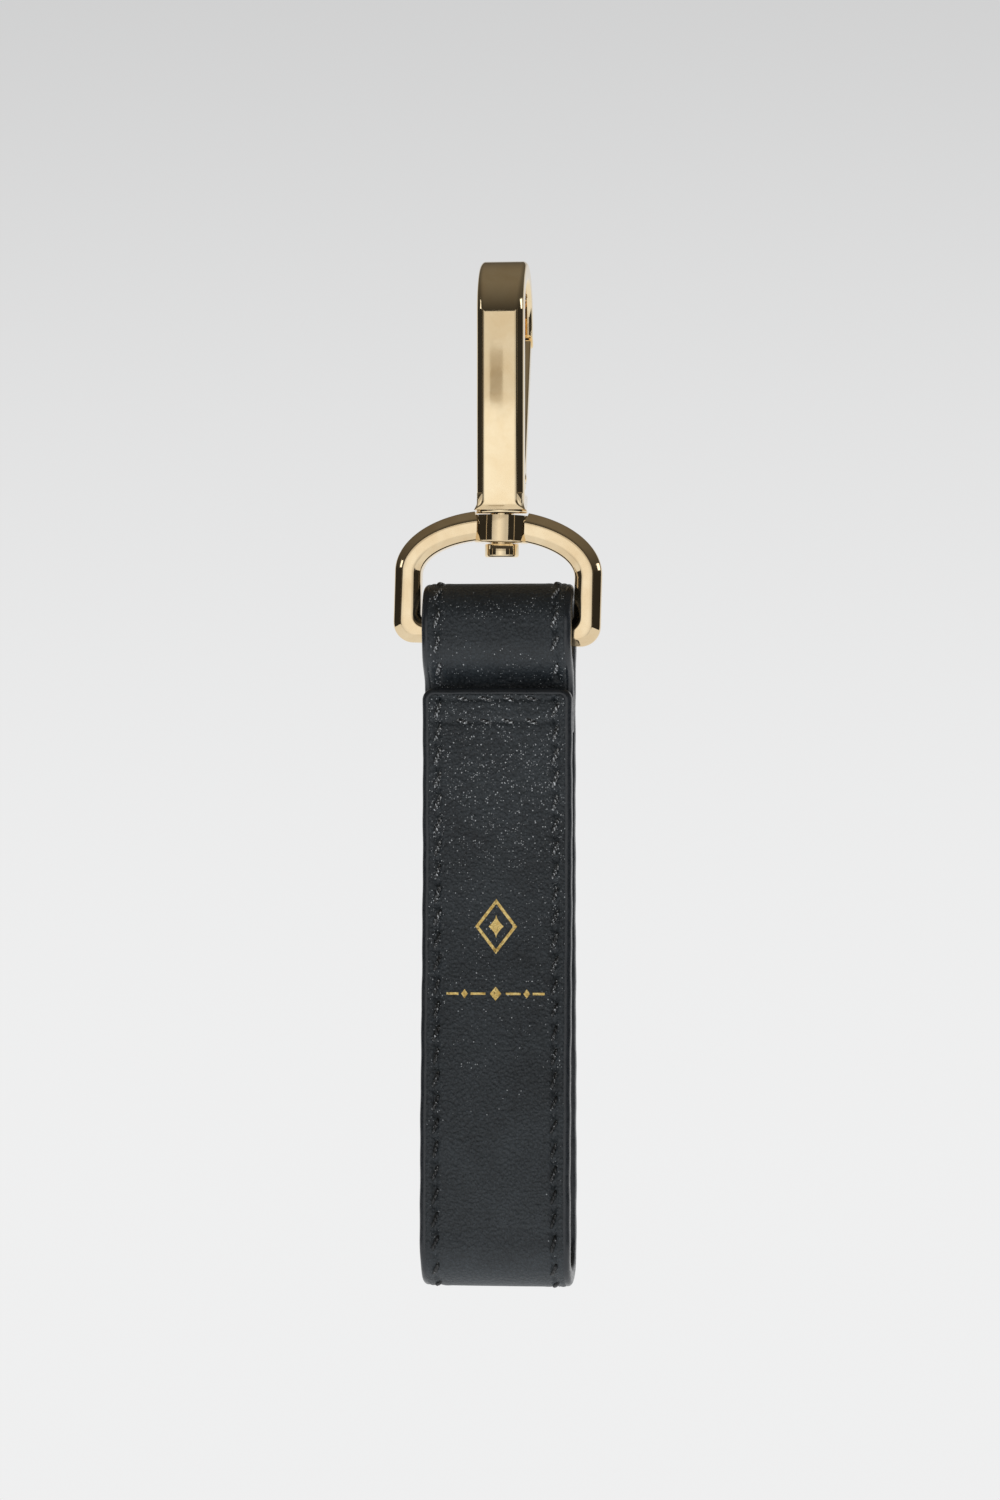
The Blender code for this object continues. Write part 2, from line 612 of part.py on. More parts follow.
def lozenge(face):
    """A lozenge frame that lies just off the strap's front face."""
    inner_height = LOZENGE_HALF_HEIGHT - LOZENGE_LINE * 1.6
    inner_width = LOZENGE_HALF_WIDTH - LOZENGE_LINE * 1.25
    rings = []
    for i in range(16):
        corner = i // 4
        share = (i % 4) / 4
        a = math.pi * 0.5 * corner
        b = math.pi * 0.5 * (corner + 1)
        x = math.cos(a) + (math.cos(b) - math.cos(a)) * share
        h = math.sin(a) + (math.sin(b) - math.sin(a)) * share
        outer = (x * LOZENGE_HALF_WIDTH, LOZENGE_Z + h * LOZENGE_HALF_HEIGHT)
        inner = (x * inner_width, LOZENGE_Z + h * inner_height)
        ring = []
        for (px, pz), lift in ((outer, 0), (inner, 0), (inner, 1), (outer, 1)):
            y = front_face_y(face, pz) - GAP - lift * FOIL_THICKNESS
            ring.append((px, y, pz))
        rings.append(ring)
    return loft(rings, closed=True)


def build_strap():
    """Both plies, the seam threads on each side, the rows that close the loop, and the foil ornament."""
    line = strap_line()
    centre = (STRAP_CENTRE_X, 0, 0)
    add_object("strap_face", ply(line, PLY_MIDDLE), FACE_LEATHER, centre, smooth_below=math.radians(40))
    add_object("strap_lining", ply(line, -PLY_MIDDLE), LINING_LEATHER, centre, smooth_below=math.radians(40))

    lift = STRAP_HALF_THICKNESS + GAP + THREAD_HALF_HEIGHT
    face_line = offset_line(line, lift)
    lining_line = offset_line(line, -lift)
    seam_x = 0.5 * STRAP_WIDTH - SEAM_INSET
    middle = len(line) // 2
    below_tuck = TUCKED_END_Z - 1.0 * MM
    above_tuck = -64.5 * MM

    def on_face(i, point):
        """The face seam stops where the band dives under its own front end."""
        return i > 0 and (i < middle or point[1] > above_tuck or i < len(line) - 11)

    def on_lining(i, point):
        """The lining seam shows only round the open wrist loop."""
        return point[1] < below_tuck and i < len(line) - 2

    for side, word in ((-1, "left"), (1, "right")):
        add_object(f"face_seam_{word}", strand(face_line, side * seam_x, on_face), THREAD, centre)
        add_object(f"lining_seam_{word}", strand(lining_line, side * seam_x, on_lining), THREAD, centre)
    for z, height in zip(ROW_ZS, ("upper", "lower")):
        add_object(f"front_row_{height}", row_strand(z, -1), THREAD, centre)
        add_object(f"back_row_{height}", row_strand(z, 1), THREAD, centre)

    face = offset_line(line, STRAP_HALF_THICKNESS)
    add_object("foil_lozenge", lozenge(face), FOIL, centre)
    rule = []
    for z in (RULE_Z + RULE_HALF_HEIGHT, RULE_Z - RULE_HALF_HEIGHT):
        near = front_face_y(face, z) - GAP
        far = near - FOIL_THICKNESS
        ring = [(-RULE_HALF_LENGTH, near, z), (RULE_HALF_LENGTH, near, z), (RULE_HALF_LENGTH, far, z), (-RULE_HALF_LENGTH, far, z)]
        rule.append(ring)
    add_object("foil_rule", loft(rule), FOIL, centre)


clear_scene()
build_hook()
build_gate()
build_rivet()
build_ring()
build_strap()
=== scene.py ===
import math

import bmesh
import bpy
import numpy as np
from mathutils import Matrix, Vector


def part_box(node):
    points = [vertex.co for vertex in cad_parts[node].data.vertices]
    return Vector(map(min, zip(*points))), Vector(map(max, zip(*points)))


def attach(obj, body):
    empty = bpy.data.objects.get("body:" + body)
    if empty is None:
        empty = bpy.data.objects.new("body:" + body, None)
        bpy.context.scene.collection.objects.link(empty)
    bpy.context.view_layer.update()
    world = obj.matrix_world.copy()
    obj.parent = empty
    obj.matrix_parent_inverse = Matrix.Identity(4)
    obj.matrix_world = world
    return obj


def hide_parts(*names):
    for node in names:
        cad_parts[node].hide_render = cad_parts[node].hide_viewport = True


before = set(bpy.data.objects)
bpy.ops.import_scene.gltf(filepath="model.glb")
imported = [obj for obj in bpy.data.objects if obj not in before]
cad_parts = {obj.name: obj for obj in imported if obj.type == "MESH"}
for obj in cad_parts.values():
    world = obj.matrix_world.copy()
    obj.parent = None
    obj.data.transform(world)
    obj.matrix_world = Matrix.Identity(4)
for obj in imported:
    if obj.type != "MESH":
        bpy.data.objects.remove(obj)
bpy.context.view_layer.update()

MM = 0.001

# ---------------------------------------------------------------- places read from the pieces in model.glb

rivet_low, rivet_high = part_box("swivel_rivet")
pin_low, pin_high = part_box("gate_pin")
hook_low, hook_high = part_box("hook_body")
strap_low, strap_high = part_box("strap_face")
SWIVEL_Y = 0.5 * (rivet_low.y + rivet_high.y)
PIN_Y = 0.5 * (pin_low.y + pin_high.y)
PIN_Z = 0.5 * (pin_low.z + pin_high.z)

# ---------------------------------------------------------------- sizes of the metal pieces

GAP = 0.3 * MM
RUNNING_GAP = 0.15 * MM
HOOK_WIDTH = 7.9 * MM
SPINE_DEPTH = 4.2 * MM
CROWN_DEPTH = hook_high.z
NOSE_DEPTH = 3.3 * MM
ARCH_RADIUS = 9.7 * MM
OUTER_CHAMFER = 1.12 * MM
CROWN_EASE = 0.55
INNER_CHAMFER = 0.5 * MM
NOSE_OUTER_END_Z = -10.9 * MM
NOSE_INNER_END_Z = -8.3 * MM
SPINE_END_Z = -39.1 * MM
BASE_BOTTOM_Z = hook_low.z
BASE_FLANGE_RADIUS = 4.3 * MM
FLANGE_NECK_RADIUS = 3.95 * MM
BASE_FLARE = 0.35 * MM
BASE_FLANGE_TOP_Z = -38.55 * MM
BASE_BLOCK_TOP_Z = -36.2 * MM
BASE_BLOCK_BOTTOM_Z = -38.95 * MM
BASE_BLOCK_FRONT = 3.9 * MM
BASE_BLOCK_BACK = 5.3 * MM
BASE_BLOCK_HALF_WIDTH = 3.85 * MM
BOSS_TOP_Z = -39.95 * MM
BOSS_BOTTOM_Z = -44.55 * MM
BOSS_RADIUS = 4.6 * MM
BOSS_SWELL = 0.05 * MM
SHANK_RADIUS = 1.9 * MM
SHANK_TOP_Z = rivet_high.z
RIVET_HEAD_RADIUS = 2.85 * MM
RIVET_HEAD_TOP_Z = -44.72 * MM
RIVET_HEAD_BOTTOM_Z = rivet_low.z
PIN_RADIUS = 0.8 * MM
PIN_HALF_LENGTH = 3.9 * MM
GATE_HALF_WIDTH = 3.7 * MM
GATE_HALF_THICKNESS = 1.25 * MM
GATE_EYE_RADIUS = 2.05 * MM
GATE_SLOT_HALF_WIDTH = 2.55 * MM
GATE_SLOT_REACH = 4.8 * MM
LUG_OUTER_HALF_WIDTH = 2.25 * MM
LUG_INNER_HALF_WIDTH = 1.15 * MM
LUG_RADIUS = 1.95 * MM
SPRING_WIRE_RADIUS = 0.2 * MM
SPRING_COIL_RADIUS = 1.35 * MM
SPRING_TURNS = 3
SPRING_PITCH = 0.48 * MM
SPRING_LEG = 5.2 * MM
RING_CENTRE_X = -0.35 * MM
RING_OUTER_HALF_WIDTH = 17.45 * MM
RING_INNER_HALF_WIDTH = 12.95 * MM
RING_OUTER_RISE = 10.6 * MM
RING_INNER_RISE = 6.1 * MM
RING_OUTER_SPRING_Z = -49.6 * MM
RING_INNER_SPRING_Z = -50.1 * MM
RING_BOTTOM_Z = -61.6 * MM
RING_BAR_TOP_Z = -57.7 * MM
RING_OUTER_CORNER = 3.4 * MM
RING_INNER_CORNER = 1.2 * MM
RING_HALF_DEPTH = 2.35 * MM
RING_CHAMFER = 1.4 * MM
RING_INNER_BEVEL_WIDTH = 1.3 * MM
RING_INNER_BEVEL_DEPTH = 0.65 * MM
RING_RIM_WIDTH = 0.5 * MM
RING_RIM_DEPTH = 0.05 * MM
RING_TILT = math.radians(1.6)
FLANGE_CLEARANCE = 0.35 * MM

INNER_FRONT_Y = -0.5 * (2 * ARCH_RADIUS - SPINE_DEPTH - NOSE_DEPTH)
SPINE_FACE_Y = INNER_FRONT_Y - SPINE_DEPTH
ARCH_CENTRE_Z = CROWN_DEPTH - ARCH_RADIUS

# ---------------------------------------------------------------- sizes of the strap

STRAP_WIDTH = strap_high.x - strap_low.x
STRAP_CENTRE_X = 0.5 * (strap_high.x + strap_low.x)
HALF_WIDTH = 0.5 * STRAP_WIDTH
HALF_THICKNESS = 1.5 * MM
STACK_STEP = 3.3 * MM
FRONT_END_Z = -68.9 * MM
TUCKED_END_Z = -76.5 * MM
LAYERS_PART_Z = -90.0 * MM
FOLD_RADIUS = 6.3 * MM
FOLD_CENTRE_Y = -1.1 * MM
FOLD_CENTRE_Z = -161.15 * MM
WRAP_RADIUS = 4.9 * MM
WRAP_CENTRE_Z = -57.8 * MM
WRAP_END_Z = -60.1 * MM
END_CORNER = 2.0 * MM
SEAM_INSET = 2.65 * MM
STITCH_PITCH = 3.85 * MM
STITCH_LENGTH = 3.0 * MM
THREAD_RADIUS = 0.33 * MM
STITCH_SLANT = math.radians(20)
ROW_ZS = (-70.7 * MM, -74.5 * MM)
ROW_HALF_LENGTH = 9.4 * MM
COAT_ARC_RADIUS = 0.86 * MM
COAT_ARC_INSET = 0.85 * MM
COAT_ARC_LEVEL = 0.62 * MM
LOZENGE_Z = -108.7 * MM
RULE_Z = -119.9 * MM
LOZENGE_HALF_WIDTH = 3.5 * MM
LOZENGE_HALF_HEIGHT = 4.6 * MM
LOZENGE_LINE = 0.5 * MM
RULE_HALF_HEIGHT = 0.2 * MM
FOIL_UNDER = 0.02 * MM
FOIL_OVER = 0.035 * MM
FACE_LIGHT = (0.052, 0.066, 0.078)
FACE_DARK = (0.004, 0.007, 0.010)
LINING_LIGHT = (0.022, 0.026, 0.032)
LINING_DARK = (0.009, 0.012, 0.016)


# ---------------------------------------------------------------- node helpers

def new_material(name):
    """An empty node material with its output, shader, and Object coordinates in millimetres."""
    made = bpy.data.materials.new(name)
    made.use_nodes = True
    tree = made.node_tree
    tree.nodes.clear()
    out = tree.nodes.new("ShaderNodeOutputMaterial")
    shader = tree.nodes.new("ShaderNodeBsdfPrincipled")
    tree.links.new(shader.outputs["BSDF"], out.inputs["Surface"])
    where = tree.nodes.new("ShaderNodeTexCoord")
    scale = tree.nodes.new("ShaderNodeMapping")
    scale.inputs["Scale"].default_value = (1000, 1000, 1000)
    tree.links.new(where.outputs["Object"], scale.inputs["Vector"])
    return made, tree, shader, scale.outputs["Vector"]


def noise(tree, where, scale, detail=3.0, roughness=0.5, distortion=0.0):
    """The value output of a noise texture, its scale in cycles per millimetre."""
    node = tree.nodes.new("ShaderNodeTexNoise")
    node.inputs["Scale"].default_value = scale
    node.inputs["Detail"].default_value = detail
    node.inputs["Roughness"].default_value = roughness
    node.inputs["Distortion"].default_value = distortion
    tree.links.new(where, node.inputs["Vector"])
    return node.outputs["Fac"]


def cells(tree, where, scale, feature="F1", smoothness=None):
    """The distance output of a Voronoi texture, its scale in cells per millimetre."""
    node = tree.nodes.new("ShaderNodeTexVoronoi")
    node.feature = feature
    node.inputs["Scale"].default_value = scale
    if smoothness is not None:
        node.inputs["Smoothness"].default_value = smoothness
    tree.links.new(where, node.inputs["Vector"])
    return node.outputs["Distance"]


def stretched(tree, where, scale):
    """The coordinates stretched by a vector, for brushed and drawn marks."""
    node = tree.nodes.new("ShaderNodeMapping")
    node.inputs["Scale"].default_value = scale
    tree.links.new(where, node.inputs["Vector"])
    return node.outputs["Vector"]


def remap(tree, value, low, high, to_low, to_high):
    """A clamped linear remapping of a value."""
    node = tree.nodes.new("ShaderNodeMapRange")
    node.inputs["From Min"].default_value = low
    node.inputs["From Max"].default_value = high
    node.inputs["To Min"].default_value = to_low
    node.inputs["To Max"].default_value = to_high
    tree.links.new(value, node.inputs["Value"])
    return node.outputs["Result"]


def maths(tree, operation, a, b):
    """A maths node on two outputs or numbers."""
    node = tree.nodes.new("ShaderNodeMath")
    node.operation = operation
    for socket, value in zip(node.inputs, (a, b)):
        if isinstance(value, (int, float)):
            socket.default_value = value
        else:
            tree.links.new(value, socket)
    return node.outputs["Value"]


def mix_colour(tree, factor, first, second):
    """A mix of two colours, each a colour or an output."""
    node = tree.nodes.new("ShaderNodeMix")
    node.data_type = "RGBA"
    tree.links.new(factor, node.inputs["Factor"])
    for socket, value in ((node.inputs[6], first), (node.inputs[7], second)):
        if isinstance(value, tuple):
            socket.default_value = (*value, 1.0)
        else:
            tree.links.new(value, socket)
    return node.outputs[2]


def add_bump(tree, shader, layers):
    """A chain of bumps from (height output, distance in metres, strength) layers."""
    last = None
    for height, distance, strength in layers:
        node = tree.nodes.new("ShaderNodeBump")
        node.inputs["Distance"].default_value = distance
        node.inputs["Strength"].default_value = strength
        tree.links.new(height, node.inputs["Height"])
        if last is not None:
            tree.links.new(last, node.inputs["Normal"])
        last = node.outputs["Normal"]
    tree.links.new(last, shader.inputs["Normal"])


# ---------------------------------------------------------------- materials

def polished_gold(name="polished_gold", light=(0.92, 0.765, 0.51), deep=(0.86, 0.68, 0.42),
                  base_roughness=0.035):
    """Light gold plating: near-mirror, with faint smudges, hairline scratches and a cast waviness."""
    made, tree, shader, where = new_material(name)
    shader.inputs["Metallic"].default_value = 1.0
    smudge = noise(tree, where, 0.22, 4.0, 0.6, 0.4)
    tone = remap(tree, smudge, 0.35, 0.7, 0.0, 1.0)
    tree.links.new(mix_colour(tree, tone, light, deep), shader.inputs["Base Color"])
    wear = noise(tree, where, 0.35, 3.0, 0.55)
    rough = remap(tree, wear, 0.35, 0.75, base_roughness, base_roughness + 0.035)
    tree.links.new(rough, shader.inputs["Roughness"])
    hairlines = noise(tree, stretched(tree, where, (9.0, 9.0, 0.7)), 1.0, 2.0)
    waves = noise(tree, where, 0.16, 1.0)
    add_bump(tree, shader, ((waves, 0.03 * MM, 0.2), (hairlines, 0.0003 * MM, 0.1)))
    return made


def spring_wire():
    """Bright drawn steel wire with fine lines along it."""
    made, tree, shader, where = new_material("drawn_spring_wire")
    shader.inputs["Metallic"].default_value = 1.0
    tone = noise(tree, where, 2.0, 3.0)
    steel = mix_colour(tree, tone, (0.50, 0.49, 0.47), (0.64, 0.62, 0.60))
    tree.links.new(steel, shader.inputs["Base Color"])
    tree.links.new(remap(tree, noise(tree, where, 6.0), 0.3, 0.7, 0.22, 0.38), shader.inputs["Roughness"])
    add_bump(tree, shader, ((noise(tree, where, 9.0), 0.004 * MM, 0.4),))
    return made


def band(tree, value, centre, half_width, strength):
    """A soft hump of a given strength where a value is near a centre."""
    away = maths(tree, "ABSOLUTE", maths(tree, "SUBTRACT", value, centre), 0.0)
    return remap(tree, away, 0.0, half_width, strength, 0.0)


def leather(name, light, dark, roughness, grain, painted_glint_strength):
    """Fine-grained leather: pebbled grain, pores, cloudy tone, and painted glints, pale specks in the base
    colour standing in for grain catching the light.
    """
    made, tree, shader, where = new_material(name)
    cloud = remap(tree, noise(tree, where, 0.09, 3.0, 0.55, 0.5), 0.3, 0.72, 0.0, 1.0)
    pebble = cells(tree, where, 1.9, "SMOOTH_F1", 0.6)
    fine = noise(tree, where, 4.2, 4.0, 0.68)
    drawn = noise(tree, stretched(tree, where, (3.4, 3.4, 0.9)), 1.0, 3.0, 0.6)
    valley = remap(tree, pebble, 0.18, 0.55, 0.0, 1.0)
    speckle = remap(tree, fine, 0.42, 0.60, 1.0, 0.0)
    tone = maths(tree, "ADD", maths(tree, "MULTIPLY", cloud, 0.35), maths(tree, "MULTIPLY", valley, 0.25))
    tone = maths(tree, "ADD", tone, maths(tree, "MULTIPLY", speckle, 0.4))
    skin = mix_colour(tree, tone, light, dark)
    place = tree.nodes.new("ShaderNodeSeparateXYZ")
    tree.links.new(where, place.inputs["Vector"])
    height = place.outputs["Z"]
    across = maths(tree, "ABSOLUTE", maths(tree, "SUBTRACT", place.outputs["X"], STRAP_CENTRE_X / MM), 0.0)
    seam_x = (HALF_WIDTH - SEAM_INSET) / MM
    # Painted glints: how densely the pale specks are strewn, in bands by height, along the seams and across the
    # stitch rows, fading towards the bottom.
    painted_glint_density = maths(tree, "ADD", band(tree, height, -55.6, 2.8, 0.9), band(tree, height, -80.0, 20.0, 0.62))
    for value, centre, half_width, strength in (
        (height, -100.0, 46.0, 0.34), (across, seam_x, 1.5, 0.45), (height, -72.6, 4.0, 0.25),
    ):
        painted_glint_density = maths(tree, "ADD", painted_glint_density, band(tree, value, centre, half_width, strength))
    low_fade = remap(tree, height, -168.0, -118.0, 0.16, 1.0)
    clumps = remap(tree, noise(tree, where, 0.45, 3.0, 0.6), 0.36, 0.62, 0.15, 1.2)
    painted_glint_density = maths(tree, "MULTIPLY", maths(tree, "MULTIPLY", painted_glint_density, low_fade), clumps)
    dots = tree.nodes.new("ShaderNodeTexVoronoi")
    dots.inputs["Scale"].default_value = 3.0
    tree.links.new(where, dots.inputs["Vector"])
    chance = tree.nodes.new("ShaderNodeSeparateColor")
    tree.links.new(dots.outputs["Color"], chance.inputs["Color"])
    kept = maths(tree, "LESS_THAN", chance.outputs["Red"], painted_glint_density)
    size = remap(tree, chance.outputs["Green"], 0.0, 1.0, 0.16, 0.34)
    spot = maths(tree, "LESS_THAN", dots.outputs["Distance"], size)
    bright = remap(tree, chance.outputs["Blue"], 0.3, 1.0, 0.12, 1.0)
    shine = kept
    for factor in (spot, bright, painted_glint_strength):
        shine = maths(tree, "MULTIPLY", shine, factor)
    # The pale specks mixed into the base colour are painted glints, not a colour of the leather; the roughness
    # drops with them.
    tree.links.new(mix_colour(tree, shine, skin, (0.72, 0.76, 0.80)), shader.inputs["Base Color"])
    rough = remap(tree, fine, 0.3, 0.7, roughness - 0.08, roughness + 0.12)
    rough = maths(tree, "SUBTRACT", rough, maths(tree, "MULTIPLY", shine, 0.12))
    tree.links.new(rough, shader.inputs["Roughness"])
    pores = remap(tree, cells(tree, where, 3.4), 0.0, 0.16, 0.0, 1.0)
    raised = maths(tree, "SUBTRACT", 1.0, pebble)
    add_bump(tree, shader, (
        (raised, 0.10 * MM * grain, 0.8), (pores, 0.03 * MM * grain, 0.5),
        (drawn, 0.05 * MM * grain, 0.7), (fine, 0.07 * MM * grain, 0.85),
    ))
    return made


def edge_paint():
    """Glossy black edge paint, laid by hand: slow waves, a few dull spots."""
    made, tree, shader, where = new_material("edge_paint")
    tone = noise(tree, where, 0.5, 3.0)
    black = mix_colour(tree, tone, (0.012, 0.016, 0.021), (0.024, 0.030, 0.038))
    tree.links.new(black, shader.inputs["Base Color"])
    dulled = remap(tree, noise(tree, where, 1.4, 4.0), 0.35, 0.7, 0.24, 0.42)
    tree.links.new(dulled, shader.inputs["Roughness"])
    shader.inputs["Coat Weight"].default_value = 0.15
    shader.inputs["Coat Roughness"].default_value = 0.12
    slow = noise(tree, where, 0.55, 2.0)
    fine = noise(tree, where, 4.0)
    add_bump(tree, shader, ((slow, 0.10 * MM, 0.5), (fine, 0.01 * MM, 0.5)))
    return made


def sewing_thread():
    """Black thread: its twist shows as slanted ridges, and their crests carry painted glints, pale specks in
    the base colour, fewer lower down.
    """
    made, tree, shader, where = new_material("waxed_thread")
    run = tree.nodes.new("ShaderNodeAttribute")
    run.attribute_name = "run"
    turn = tree.nodes.new("ShaderNodeAttribute")
    turn.attribute_name = "turn"
    twist = maths(tree, "ADD", maths(tree, "MULTIPLY", run.outputs["Fac"], 26.0),
                  maths(tree, "MULTIPLY", turn.outputs["Fac"], 2 * math.pi * 2))
    ridge = maths(tree, "SINE", twist, 0.0)
    fibre = noise(tree, where, 9.0, 3.0, 0.7)
    place = tree.nodes.new("ShaderNodeSeparateXYZ")
    tree.links.new(where, place.inputs["Vector"])
    # Painted glints: the noise must pass a threshold that rises lower down, so fewer crests are lit towards the
    # bottom.
    lower = remap(tree, place.outputs["Z"], -165.0, -85.0, 0.66, 0.49)
    above = maths(tree, "SUBTRACT", noise(tree, where, 3.6, 2.0, 0.6), lower)
    glint = remap(tree, above, 0.0, 0.05, 0.0, 1.0)
    crest = maths(tree, "MULTIPLY", remap(tree, ridge, -0.2, 1.0, 0.15, 1.0), glint)
    thread_with_painted_glints = mix_colour(tree, crest, (0.010, 0.012, 0.014), (0.80, 0.84, 0.88))
    tree.links.new(thread_with_painted_glints, shader.inputs["Base Color"])
    tree.links.new(remap(tree, fibre, 0.3, 0.7, 0.26, 0.5), shader.inputs["Roughness"])
    add_bump(tree, shader, ((ridge, 0.05 * MM, 0.9), (fibre, 0.02 * MM, 0.8)))
    return made


def stamped_foil():
    """Hot-stamped gold foil: bright, broken a little where the grain below it shows through."""
    made, tree, shader, where = new_material("stamped_foil")
    shader.inputs["Metallic"].default_value = 0.9
    grain = noise(tree, where, 3.2, 3.0, 0.6)
    worn = remap(tree, grain, 0.56, 0.70, 0.0, 1.0)
    bright = mix_colour(tree, remap(tree, noise(tree, where, 1.4), 0.35, 0.65, 0.0, 1.0),
                        (0.93, 0.72, 0.30), (0.66, 0.43, 0.12))
    tree.links.new(mix_colour(tree, worn, bright, (0.22, 0.15, 0.05)), shader.inputs["Base Color"])
    tree.links.new(remap(tree, grain, 0.3, 0.7, 0.24, 0.5), shader.inputs["Roughness"])
    add_bump(tree, shader, ((grain, 0.06 * MM, 0.8),))
    return made


# ---------------------------------------------------------------- mesh helpers

def add_piece(name, mesh, material, body, replaces=(), sharp=math.radians(30)):
    """Links a finished mesh as a piece on a body, in place of its CAD nodes."""
    mesh.materials.clear()
    mesh.materials.append(material)
    mesh.shade_smooth()
    mesh.set_sharp_from_angle(angle=sharp)
    piece = bpy.data.objects.new(name, mesh)
    bpy.context.scene.collection.objects.link(piece)
    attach(piece, body)
    if replaces:
        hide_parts(*replaces)
    return piece


def add_strap_piece(name, mesh, material, replaces=(), sharp=math.radians(30)):
    """Adds a strap mesh, modelled about the band's own centre line, at its place on the ring."""
    mesh.transform(Matrix.Translation((STRAP_CENTRE_X, 0, 0)))
    return add_piece(name, mesh, material, "strap", replaces, sharp)


def loft(rings, closed=False):
    """A mesh through rings of the same number of points, capped unless the rings close up."""
    count = len(rings[0])
    verts = [tuple(point) for ring in rings for point in ring]
    faces = []
    last = len(rings) if closed else len(rings) - 1
    for r in range(last):
        here = r * count
        there = ((r + 1) % len(rings)) * count
        for i in range(count):
            j = (i + 1) % count
            faces.append((here + i, here + j, there + j, there + i))
    if not closed:
        faces.append(tuple(range(count)))
        faces.append(tuple((len(rings) - 1) * count + i for i in range(count)))
    mesh = bpy.data.meshes.new("loft")
    mesh.from_pydata(verts, [], faces)
    return outward(mesh)


def outward(mesh):
    """Turns a closed mesh's faces outwards."""
    bm = bmesh.new()
    bm.from_mesh(mesh)
    bmesh.ops.recalc_face_normals(bm, faces=bm.faces)
    bm.to_mesh(mesh)
    bm.free()
    mesh.update()
    return mesh


def turned(profile, centre=(0, 0, 0), along="Z", segments=96):
    """A solid turned about Z, or about X, from (radius, height) points down its outer side."""
    rings = []
    for radius, height in profile:
        ring = []
        for i in range(segments):
            angle = 2 * math.pi * i / segments
            across = (radius * math.cos(angle), radius * math.sin(angle))
            if along == "Z":
                ring.append((centre[0] + across[0], centre[1] + across[1], centre[2] + height))
            else:
                ring.append((centre[0] + height, centre[1] + across[0], centre[2] + across[1]))
        rings.append(ring)
    return loft(rings)


def prism(outline, half_width, centre=(0, 0)):
    """A solid extruded along X, both ways, from a (y, z) outline about a centre."""
    rings = []
    for side in (-half_width, half_width):
        rings.append([(side, y + centre[0], z + centre[1]) for y, z in outline])
    return loft(rings)


def arc(centre, radii, start, end, steps):
    """Points on an elliptic arc about a 2-D centre, both ends included."""
    points = []
    for i in range(steps + 1):
        angle = start + (end - start) * i / steps
        points.append((centre[0] + radii[0] * math.cos(angle), centre[1] + radii[1] * math.sin(angle)))
    return points


def bezier(start, start_handle, end_handle, end, steps):
    """Points on a 2-D cubic curve, both ends included."""
    points = []
    for i in range(steps + 1):
        t = i / steps
        weights = ((1 - t) ** 3, 3 * t * (1 - t) ** 2, 3 * t * t * (1 - t), t ** 3)
        corners = (start, start_handle, end_handle, end)
        points.append(tuple(sum(w * c[k] for w, c in zip(weights, corners)) for k in (0, 1)))
    return points


def rounded(corners, radius, steps=4):
    """A polygon's outline with each corner replaced by a short arc, always the same number of points."""
    points = []
    count = len(corners)
    for i in range(count):
        before = Vector(corners[i - 1])
        corner = Vector(corners[i])
        after = Vector(corners[(i + 1) % count])
        to_before = before - corner
        to_after = after - corner
        reach = min(radius, 0.45 * to_before.length, 0.45 * to_after.length)
        first = corner + reach * to_before.normalized()
        last = corner + reach * to_after.normalized()
        for k in range(steps + 1):
            t = k / steps
            points.append(tuple((1 - t) ** 2 * first + 2 * t * (1 - t) * corner + t * t * last))
    return points


def combined(mesh, steps, bevel=0.0, bevel_angle=math.radians(35)):
    """The mesh after Boolean steps of (operation, other mesh), its sharp edges eased first."""
    base = bpy.data.objects.new("work", mesh)
    bpy.context.scene.collection.objects.link(base)
    others = []
    if bevel:
        ease = base.modifiers.new("ease", "BEVEL")
        ease.width = bevel
        ease.segments = 3
        ease.limit_method = "ANGLE"
        ease.angle_limit = bevel_angle
    for operation, other in steps:
        tool = bpy.data.objects.new("tool", other)
        bpy.context.scene.collection.objects.link(tool)
        others.append(tool)
        step = base.modifiers.new(operation, "BOOLEAN")
        step.operation = operation
        step.solver = "EXACT"
        step.object = tool
    graph = bpy.context.evaluated_depsgraph_get()
    result = bpy.data.meshes.new_from_object(base.evaluated_get(graph))
    for used in [base] + others:
        bpy.data.objects.remove(used, do_unlink=True)
    return result


def eased(mesh, width, angle=math.radians(35)):
    """The mesh with its sharp edges rounded."""
    return combined(mesh, (), width, angle)


# ---------------------------------------------------------------- hook

def bar_section(outer, inner, chamfer, widen=0.0):
    """The hook bar's section between an outer and an inner (y, z) point, its creases softened."""
    outer = Vector(outer)
    inner = Vector(inner)
    inward = (inner - outer).normalized()
    depth = (inner - outer).length
    half = 0.5 * HOOK_WIDTH + widen
    corners = (
        (-half + chamfer, 0), (half - chamfer, 0), (half, chamfer), (half, depth - INNER_CHAMFER),
        (half - INNER_CHAMFER, depth), (-half + INNER_CHAMFER, depth), (-half, depth - INNER_CHAMFER),
        (-half, chamfer),
    )
    ring = []
    for x, reach in rounded(corners, 0.42 * MM, 6):
        point = outer + reach * inward
        ring.append((x, point[0], point[1]))
    return ring


